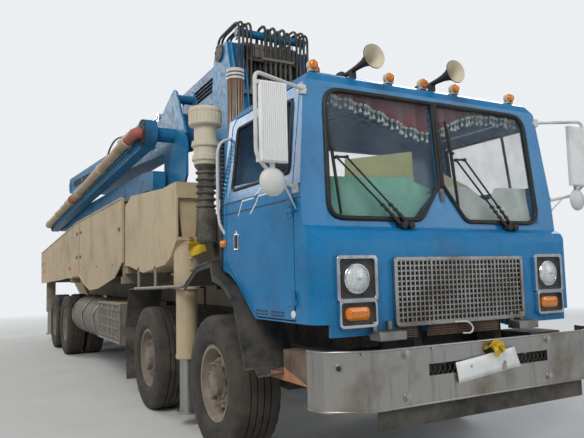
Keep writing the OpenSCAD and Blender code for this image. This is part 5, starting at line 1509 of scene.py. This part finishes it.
cover = Work()
pin_cover(cover, -1, 0.512, PIN_1, 0.10)
cover.make("pin_cover_1", CASTING, "turret")
cover = Work()
pin_cover(cover, -1, 0.690, PIN_2, 0.14)
pin_cover(cover, 1, -0.440, PIN_2, 0.12)
cover.make("pin_cover_2", BOOM, "arm_2")
disc = Work()
disc.outward(-1, (1.085, *PIN_3),
             [(-0.002, 0.168), (0.012, 0.168), (0.014, 0.160), (0.014, 0.078)], 48, caps=False)
disc.bolt_circle(-1, (1.099, *PIN_3), 0.142, 10, [(-0.001, 0.011), (0.008, 0.010)])
disc.outward(-1, (1.085, *PIN_4),
             [(-0.002, 0.125), (0.010, 0.125), (0.012, 0.118), (0.012, 0.078)], 40, caps=False)
disc.make("pin_flanges_outer", FRAME_PAINT, "arm_3", angle=45)

ribs = Work()
for across, start, end in ((0.035, 0.06, 0.97), (-0.045, 0.06, 0.97), (-0.105, 0.08, 0.95)):
    ribs.tube([outer_arm(-1.0885, start, across), outer_arm(-1.0885, end, across * 0.85)], 0.007, 8)
for k in range(9):
    share = 0.10 + 0.1 * k
    ribs.tube([outer_arm(-1.087, share, -0.11), outer_arm(-1.087, share, 0.05)], 0.005, 6)
# The ribs take the lighter blue, a painted highlight along them.
ribs.make("outer_arm_ribs_painted_highlight", RIB_HIGHLIGHT_BLUE, "arm_3", angle=60)

for arm, x, start, end, levels, first, last in (
        ("arm_1", -0.2265, PIN_1, PIN_2, (0.05, 0.0, -0.05, -0.10), 0.07, 0.97),
        ("arm_2", -0.7015, PIN_3, PIN_2, (0.06, 0.015, -0.03), 0.10, 0.95)):
    lines = Work()
    for across in levels:
        lines.tube([along_arm(x, start, end, first + (last - first) * k / 12,
                              across + 0.006 * math.sin(2.1 * k)) for k in range(13)], 0.010, 8)
    lines.make(f"pressure_lines_{arm}", FRAME_PAINT, arm, angle=60)
    clamps = Work()
    for k in range(7):
        share = first + 0.02 + (last - first - 0.04) * k / 6
        a = along_arm(x, start, end, share, levels[0] + 0.025)
        b = along_arm(x, start, end, share, levels[-1] - 0.025)
        clamps.box(x - 0.012, x + 0.012, a.y - 0.018, a.y + 0.018, b.z, a.z)
    clamps.make(f"line_clamps_{arm}", STEEL, arm, soft=0.002)

bands = Work()
for share in (0.045, 0.25, 0.49, 0.60, 0.80, 0.955):
    a = outer_arm(-1.168, share, 0.0)
    b = outer_arm(-1.168, share + 0.006, 0.0)
    bands.tube([a, a.lerp(b, 0.3), a.lerp(b, 0.7), b], [0.074, 0.080, 0.080, 0.074], 32)
    middle = a.lerp(b, 0.5)
    bands.box(middle.x - 0.014, middle.x + 0.014, middle.y - 0.018, middle.y + 0.018,
              middle.z + 0.07, middle.z + 0.10)
bands.make("pipe_bands", CREAM, "arm_3", angle=50)
SAG_STEPS = 16
path = []
for t in range(1, SAG_STEPS):
    swing = math.sin(math.pi * t / SAG_STEPS)
    path.append(outer_arm(-1.03 - 0.03 * swing, 0.10 + 0.20 * t / SAG_STEPS, 0.13 + 0.20 * swing ** 0.8))
hose("boom_hose_loop", path, 0.013, body="arm_3")
print("boom fittings")

# %% [markdown]
# The sandy side panels are folded sheets with rolled edges, a joint between two
# lengths, latches and an amber lamp. The tank has bright straps, the tool box a
# frame and locks, and dark plastic closes the arch between the two front fenders.

# %% panels, tank, tool box and fender
PANEL_X = 1.25
PANEL_TOP = [(4.47, 2.38), (7.69, 2.34), (12.5, 2.02)]
(BEND_Y, BEND_Z), PANEL_FALL = PANEL_TOP[1], 0.0665
PANEL_LOW = [(12.42, 1.31), (9.55, 1.38), (7.45, 1.45), (6.90, 1.29), (6.50, 1.22), (5.90, 1.25),
             (4.84, 1.40), (4.47, 1.58)]
for side, word in SIDES:
    x = side * PANEL_X
    edge = Work()
    for line, radius in ((PANEL_TOP, 0.014), (PANEL_LOW, 0.010), ([(12.49, 2.0), (12.42, 1.33)], 0.010),
                         ([(4.475, 1.60), (4.475, 2.37)], 0.012)):
        edge.tube([(x, y, z) for y, z in line], radius, 8)
    for y in (5.4, 6.4, 8.6, 9.6, 10.6, 11.6):
        top = BEND_Z - max(0.0, y - BEND_Y) * PANEL_FALL
        edge.tube([(x + side * 0.001, y, 1.62), (x + side * 0.001, y, top - 0.05)], [0.004, 0.005], 6)
    edge.make(f"panel_edges_{word}", TAN, "chassis", angle=60)
    joint = Work()
    joint.side_box(side, PANEL_X, PANEL_X + 0.002, 7.455, 7.475, 1.455, 2.335)
    joint.make(f"panel_joint_{word}", SEAL, "chassis")
    latch = Work()
    for y, z in ((7.30, 1.75), (7.30, 2.15), (7.64, 1.75), (7.64, 2.15), (4.60, 2.0), (12.2, 1.75)):
        latch.side_box(side, PANEL_X, PANEL_X + 0.016, y - 0.035, y + 0.035, z - 0.02, z + 0.02)
        latch.outward(side, (PANEL_X + 0.014, y, z), [(0.0, 0.012), (0.008, 0.011)], 10)
    for y in (5.0, 6.0, 7.0, 8.3, 9.3, 10.3, 11.3):
        latch.outward(side, (PANEL_X, y, 1.56), [(0.0, 0.014), (0.006, 0.012)], 8)
    latch.make(f"panel_latches_{word}", CASTING, "chassis", soft=0.002)
    lens = Work()
    for y in (8.37, 11.9):
        lens.outward(side, (PANEL_X, y, 1.59), [
            (0.0, 0.045), (0.014, 0.045), (0.026, 0.034), (0.030, 0.012), (0.031, 0.0005)])
    lens.make(f"panel_lamps_{word}", AMBER, "chassis", angle=50, slot="amber")
    arch = Work()
    line = [(1.062, 1.224), (1.15, 1.288), (1.29, 1.352), (1.425, 1.385), (1.472, 1.500)]
    low = [(y + 0.003, z - 0.008) for y, z in reversed(line)]
    arch.side_slab(side, line + low, 0.852, 1.248)
    lip = [(1.062, 1.224), (1.15, 1.288), (1.29, 1.352), (1.425, 1.385), (1.472, 1.502), (1.81, 1.464),
           (2.14, 1.302), (2.13, 1.262), (1.80, 1.425), (1.50, 1.458), (1.455, 1.345), (1.30, 1.314),
           (1.17, 1.252), (1.09, 1.196)]
    arch.side_slab(side, lip, 1.240, 1.251)
    arch.tube([(side * 1.248, y, z) for y, z in ((1.50, 1.502), (1.81, 1.466), (2.13, 1.306))], 0.010, 8)
    arch.side_box(side, 0.93, 1.17, 1.55, 1.75, 1.478, 1.492)
    arch.make(f"fender_arch_{word}", PLASTIC, "chassis", soft=0.003)
    rail = Work()
    rail.tube([(side * 1.244, 2.20, 1.300), (side * 1.244, 3.86, 1.262)], 0.016, 8)
    for y in (3.05, 3.70):
        rail.side_box(side, 1.236, 1.250, y - 0.03, y + 0.03, 1.265, 1.50)
    rail.make(f"outrigger_rail_{word}", DULL_ALLOY, f"outrigger_{word}", angle=60)

TANK_X, TANK_Z, TANK_R = -0.89, 0.76, 0.319
BOX_FACE = -1.196
straps = Work()
for y in (6.5, 7.4, 8.3):
    straps.turned((TANK_X, y - 0.032, TANK_Z), "y", [
        (0, TANK_R), (0, TANK_R + 0.0045), (0.064, TANK_R + 0.0045), (0.064, TANK_R)], 64, closed=True)
    straps.box(-1.215, -1.195, y - 0.02, y + 0.02, 0.80, 0.86)
straps.turned((TANK_X, 7.0, 1.085), "z", [(0, 0.052), (0.03, 0.052), (0.036, 0.046), (0.037, 0.0005)], 24)
straps.make("tank_straps", ALLOY, "chassis", angle=40)
box_trim = Work()
for y in (4.756, 5.415, 6.074):
    box_trim.box(BOX_FACE - 0.018, BOX_FACE, y - 0.014, y + 0.014, 0.556, 1.054)
for z in (0.562, 1.048):
    box_trim.box(BOX_FACE - 0.018, BOX_FACE, 4.75, 6.08, z - 0.012, z + 0.012)
for y in (5.08, 5.75):
    box_trim.box(-1.222, -1.205, y - 0.03, y + 0.03, 0.97, 1.02)
for k in range(7):
    y = 4.80 + 0.18 * k + 0.02
    box_trim.box(-1.2155, -1.210, y, y + 0.012, 0.60, 1.0)
box_trim.make("tool_box_trim", DULL_ALLOY, "chassis", soft=0.003)
left_trim = Work()
for y0, y1 in ((4.75, 5.60), (7.30, 8.40)):
    for z in (0.562, 1.048):
        left_trim.side_box(-1, BOX_FACE, BOX_FACE - 0.012, y0, y1, z - 0.012, z + 0.012)
    for y in (y0 + 0.012, y1 - 0.012):
        left_trim.side_box(-1, BOX_FACE, BOX_FACE - 0.012, y - 0.012, y + 0.012, 0.556, 1.054)
    left_trim.box(1.198, 1.214, (y0 + y1) / 2 - 0.04, (y0 + y1) / 2 + 0.04, 0.93, 0.98)
left_trim.make("left_box_trim", DULL_ALLOY, "chassis", soft=0.003)
print("panels and boxes")

# %% [markdown]
# The stack, the air cleaner and the outrigger legs get their clamps and collars. A
# yellow rag hangs over the right leg's housing. At the back are the lamps of the
# guard bar, a blank plate and the hopper's rubber lip.

# %% stack, legs and rear fittings
STACK_X, STACK_Y = -0.80, 1.95
CLEANER_X, CLEANER_Y, BELLOWS_R = -1.035, 2.13, 0.1505
LEG_X, LEG_Y = 1.11, 2.47
REAR_LAMP_Z, HOPPER_TOP, RAIL_X = 0.615, 1.70, 0.4005


def collar(work, x, y, z, radius, height):
    work.turned((x, y, z), "z", [
        (0, radius - 0.004), (0, radius), (height, radius), (height, radius - 0.004)], 40)


stack = Work()
for z in (3.20, 3.235):
    collar(stack, STACK_X, STACK_Y, z, 0.083, 0.02)
stack.turned((STACK_X, STACK_Y, 3.300), "z",
             [(-0.03, 0.080), (0.0, 0.082), (0.002, 0.074), (-0.06, 0.066)], 32, caps=False)
stack.make("stack_collar", PALE_METAL, "chassis", angle=50)
cleaner = Work()
for z, radius in ((2.452, 0.126), (2.585, 0.130), (2.79, 0.154), (2.905, 0.154)):
    collar(cleaner, CLEANER_X, CLEANER_Y, z, radius, 0.022)
for a in full_circle(28):
    x, y = CLEANER_X + BELLOWS_R * math.cos(a), CLEANER_Y + BELLOWS_R * math.sin(a)
    cleaner.box(x - 0.004, x + 0.004, y - 0.004, y + 0.004, 2.815, 2.90)
cleaner.make("air_cleaner_bands", CREAM, "chassis", soft=0.001)
for side, word in SIDES:
    leg = Work()
    for z, radius in ((1.27, 0.126), (1.695, 0.127), (0.625, 0.106)):
        collar(leg, side * LEG_X, LEG_Y, z, radius, 0.035)
    for z in (1.66, 1.56, 1.46):
        leg.turned((side * LEG_X, 2.345, z), "y", [(-0.012, 0.012), (0.01, 0.016)], 6)
    leg.make(f"leg_collars_{word}", TAN, f"outrigger_{word}", soft=0.002)
rag("leg_rag", [(-1.03, 2.50, 1.752), (-1.05, 2.40, 1.760), (-1.06, 2.335, 1.745), (-1.07, 2.318, 1.68),
                (-1.04, 2.312, 1.60)], 0.16, "outrigger_right", 0.010)
rear, reds, ambers = Work(), Work(), Work()
for side in (-1, 1):
    for x, lens in ((0.52, ambers), (0.66, reds), (0.80, reds)):
        rear.turned((side * x, 12.46, REAR_LAMP_Z), "y", [(0.0, 0.056), (0.016, 0.056), (0.018, 0.050)], 28)
        lens.turned((side * x, 12.474, REAR_LAMP_Z), "y", [
            (0.0, 0.050), (0.010, 0.044), (0.014, 0.022), (0.015, 0.0005)], 28)
rear.box(-0.26, 0.26, 12.458, 12.464, 0.555, 0.665)
rear.make("rear_lamp_bodies", PLASTIC, "chassis", soft=0.002)
RED_LENS = lens_finish("red_lens", (0.55, 0.012, 0.008))
reds.make("rear_red_lenses", RED_LENS, "chassis", angle=50)
ambers.make("rear_amber_lenses", AMBER, "chassis", angle=50, slot="amber")
blank = Work()
blank.slab(rounded_box(-0.25, 0.25, 0.560, 0.660, 0.01, 4), "y", 12.464, 12.467)
blank.make("rear_blank_plate", WHITE, "chassis")
lip = Work()
lip.tube([(x, y, HOPPER_TOP) for x, y in rounded_box(-0.700, 0.700, 11.165, 12.372, 0.04, 5)], 0.013, 8,
         closed=True)
lip.make("hopper_rubber_lip", SEAL, "chassis", angle=60)
bolts = Work()
for side in (-1, 1):
    for k in range(40):
        for z in (0.84, 0.98):
            bolts.outward(side, (RAIL_X, 0.5 + 0.27 * k, z), [(-0.002, 0.013), (0.008, 0.012)], 6)
bolts.make("frame_bolts", FRAME_PAINT, "chassis", merge=False)
print("rear fittings")

# %% [markdown]
# The floor is only stage. It is pale and a little rough, so the truck's shadow
# stays soft and the lower parts get some light from below.

# %% floor
FLOOR_LIT_RADIUS = 9.0
FLOOR_BLEND_RADIUS = 17.0


def floor_finish():
    made, tree, shader, where = blank_finish("pale_floor")
    grey = curve(tree, noise(tree, where, 1.5, 4), 0.3, 0.7, 0.0, 1.0)
    wire(tree, blend_colour(tree, grey, (0.62, 0.61, 0.59), (0.68, 0.67, 0.65)), shader.inputs["Base Color"])
    shader.inputs["Roughness"].default_value = 0.9
    far = node(tree, "ShaderNodeEmission")
    far.inputs["Color"].default_value = SEEN_SKY
    reach = node(tree, "ShaderNodeVectorMath", operation="LENGTH")
    wire(tree, where, reach.inputs[0])
    share = curve(tree, reach.outputs["Value"], FLOOR_LIT_RADIUS, FLOOR_BLEND_RADIUS)
    paths = node(tree, "ShaderNodeLightPath")
    share = multiply(tree, share, paths.outputs["Is Camera Ray"])
    mixer = node(tree, "ShaderNodeMixShader")
    wire(tree, share, mixer.inputs[0])
    wire(tree, shader.outputs[0], mixer.inputs[1])
    wire(tree, far.outputs[0], mixer.inputs[2])
    wire(tree, mixer.outputs[0], tree.nodes["Material Output"].inputs["Surface"])
    return made


floor_mesh = bpy.data.meshes.new("floor")
floor_mesh.from_pydata([(-60, -60, 0), (60, -60, 0), (60, 60, 0), (-60, 60, 0)], [], [(0, 1, 2, 3)])
floor = bpy.data.objects.new("floor", floor_mesh)
scene.collection.objects.link(floor)
floor_mesh.materials.append(floor_finish())
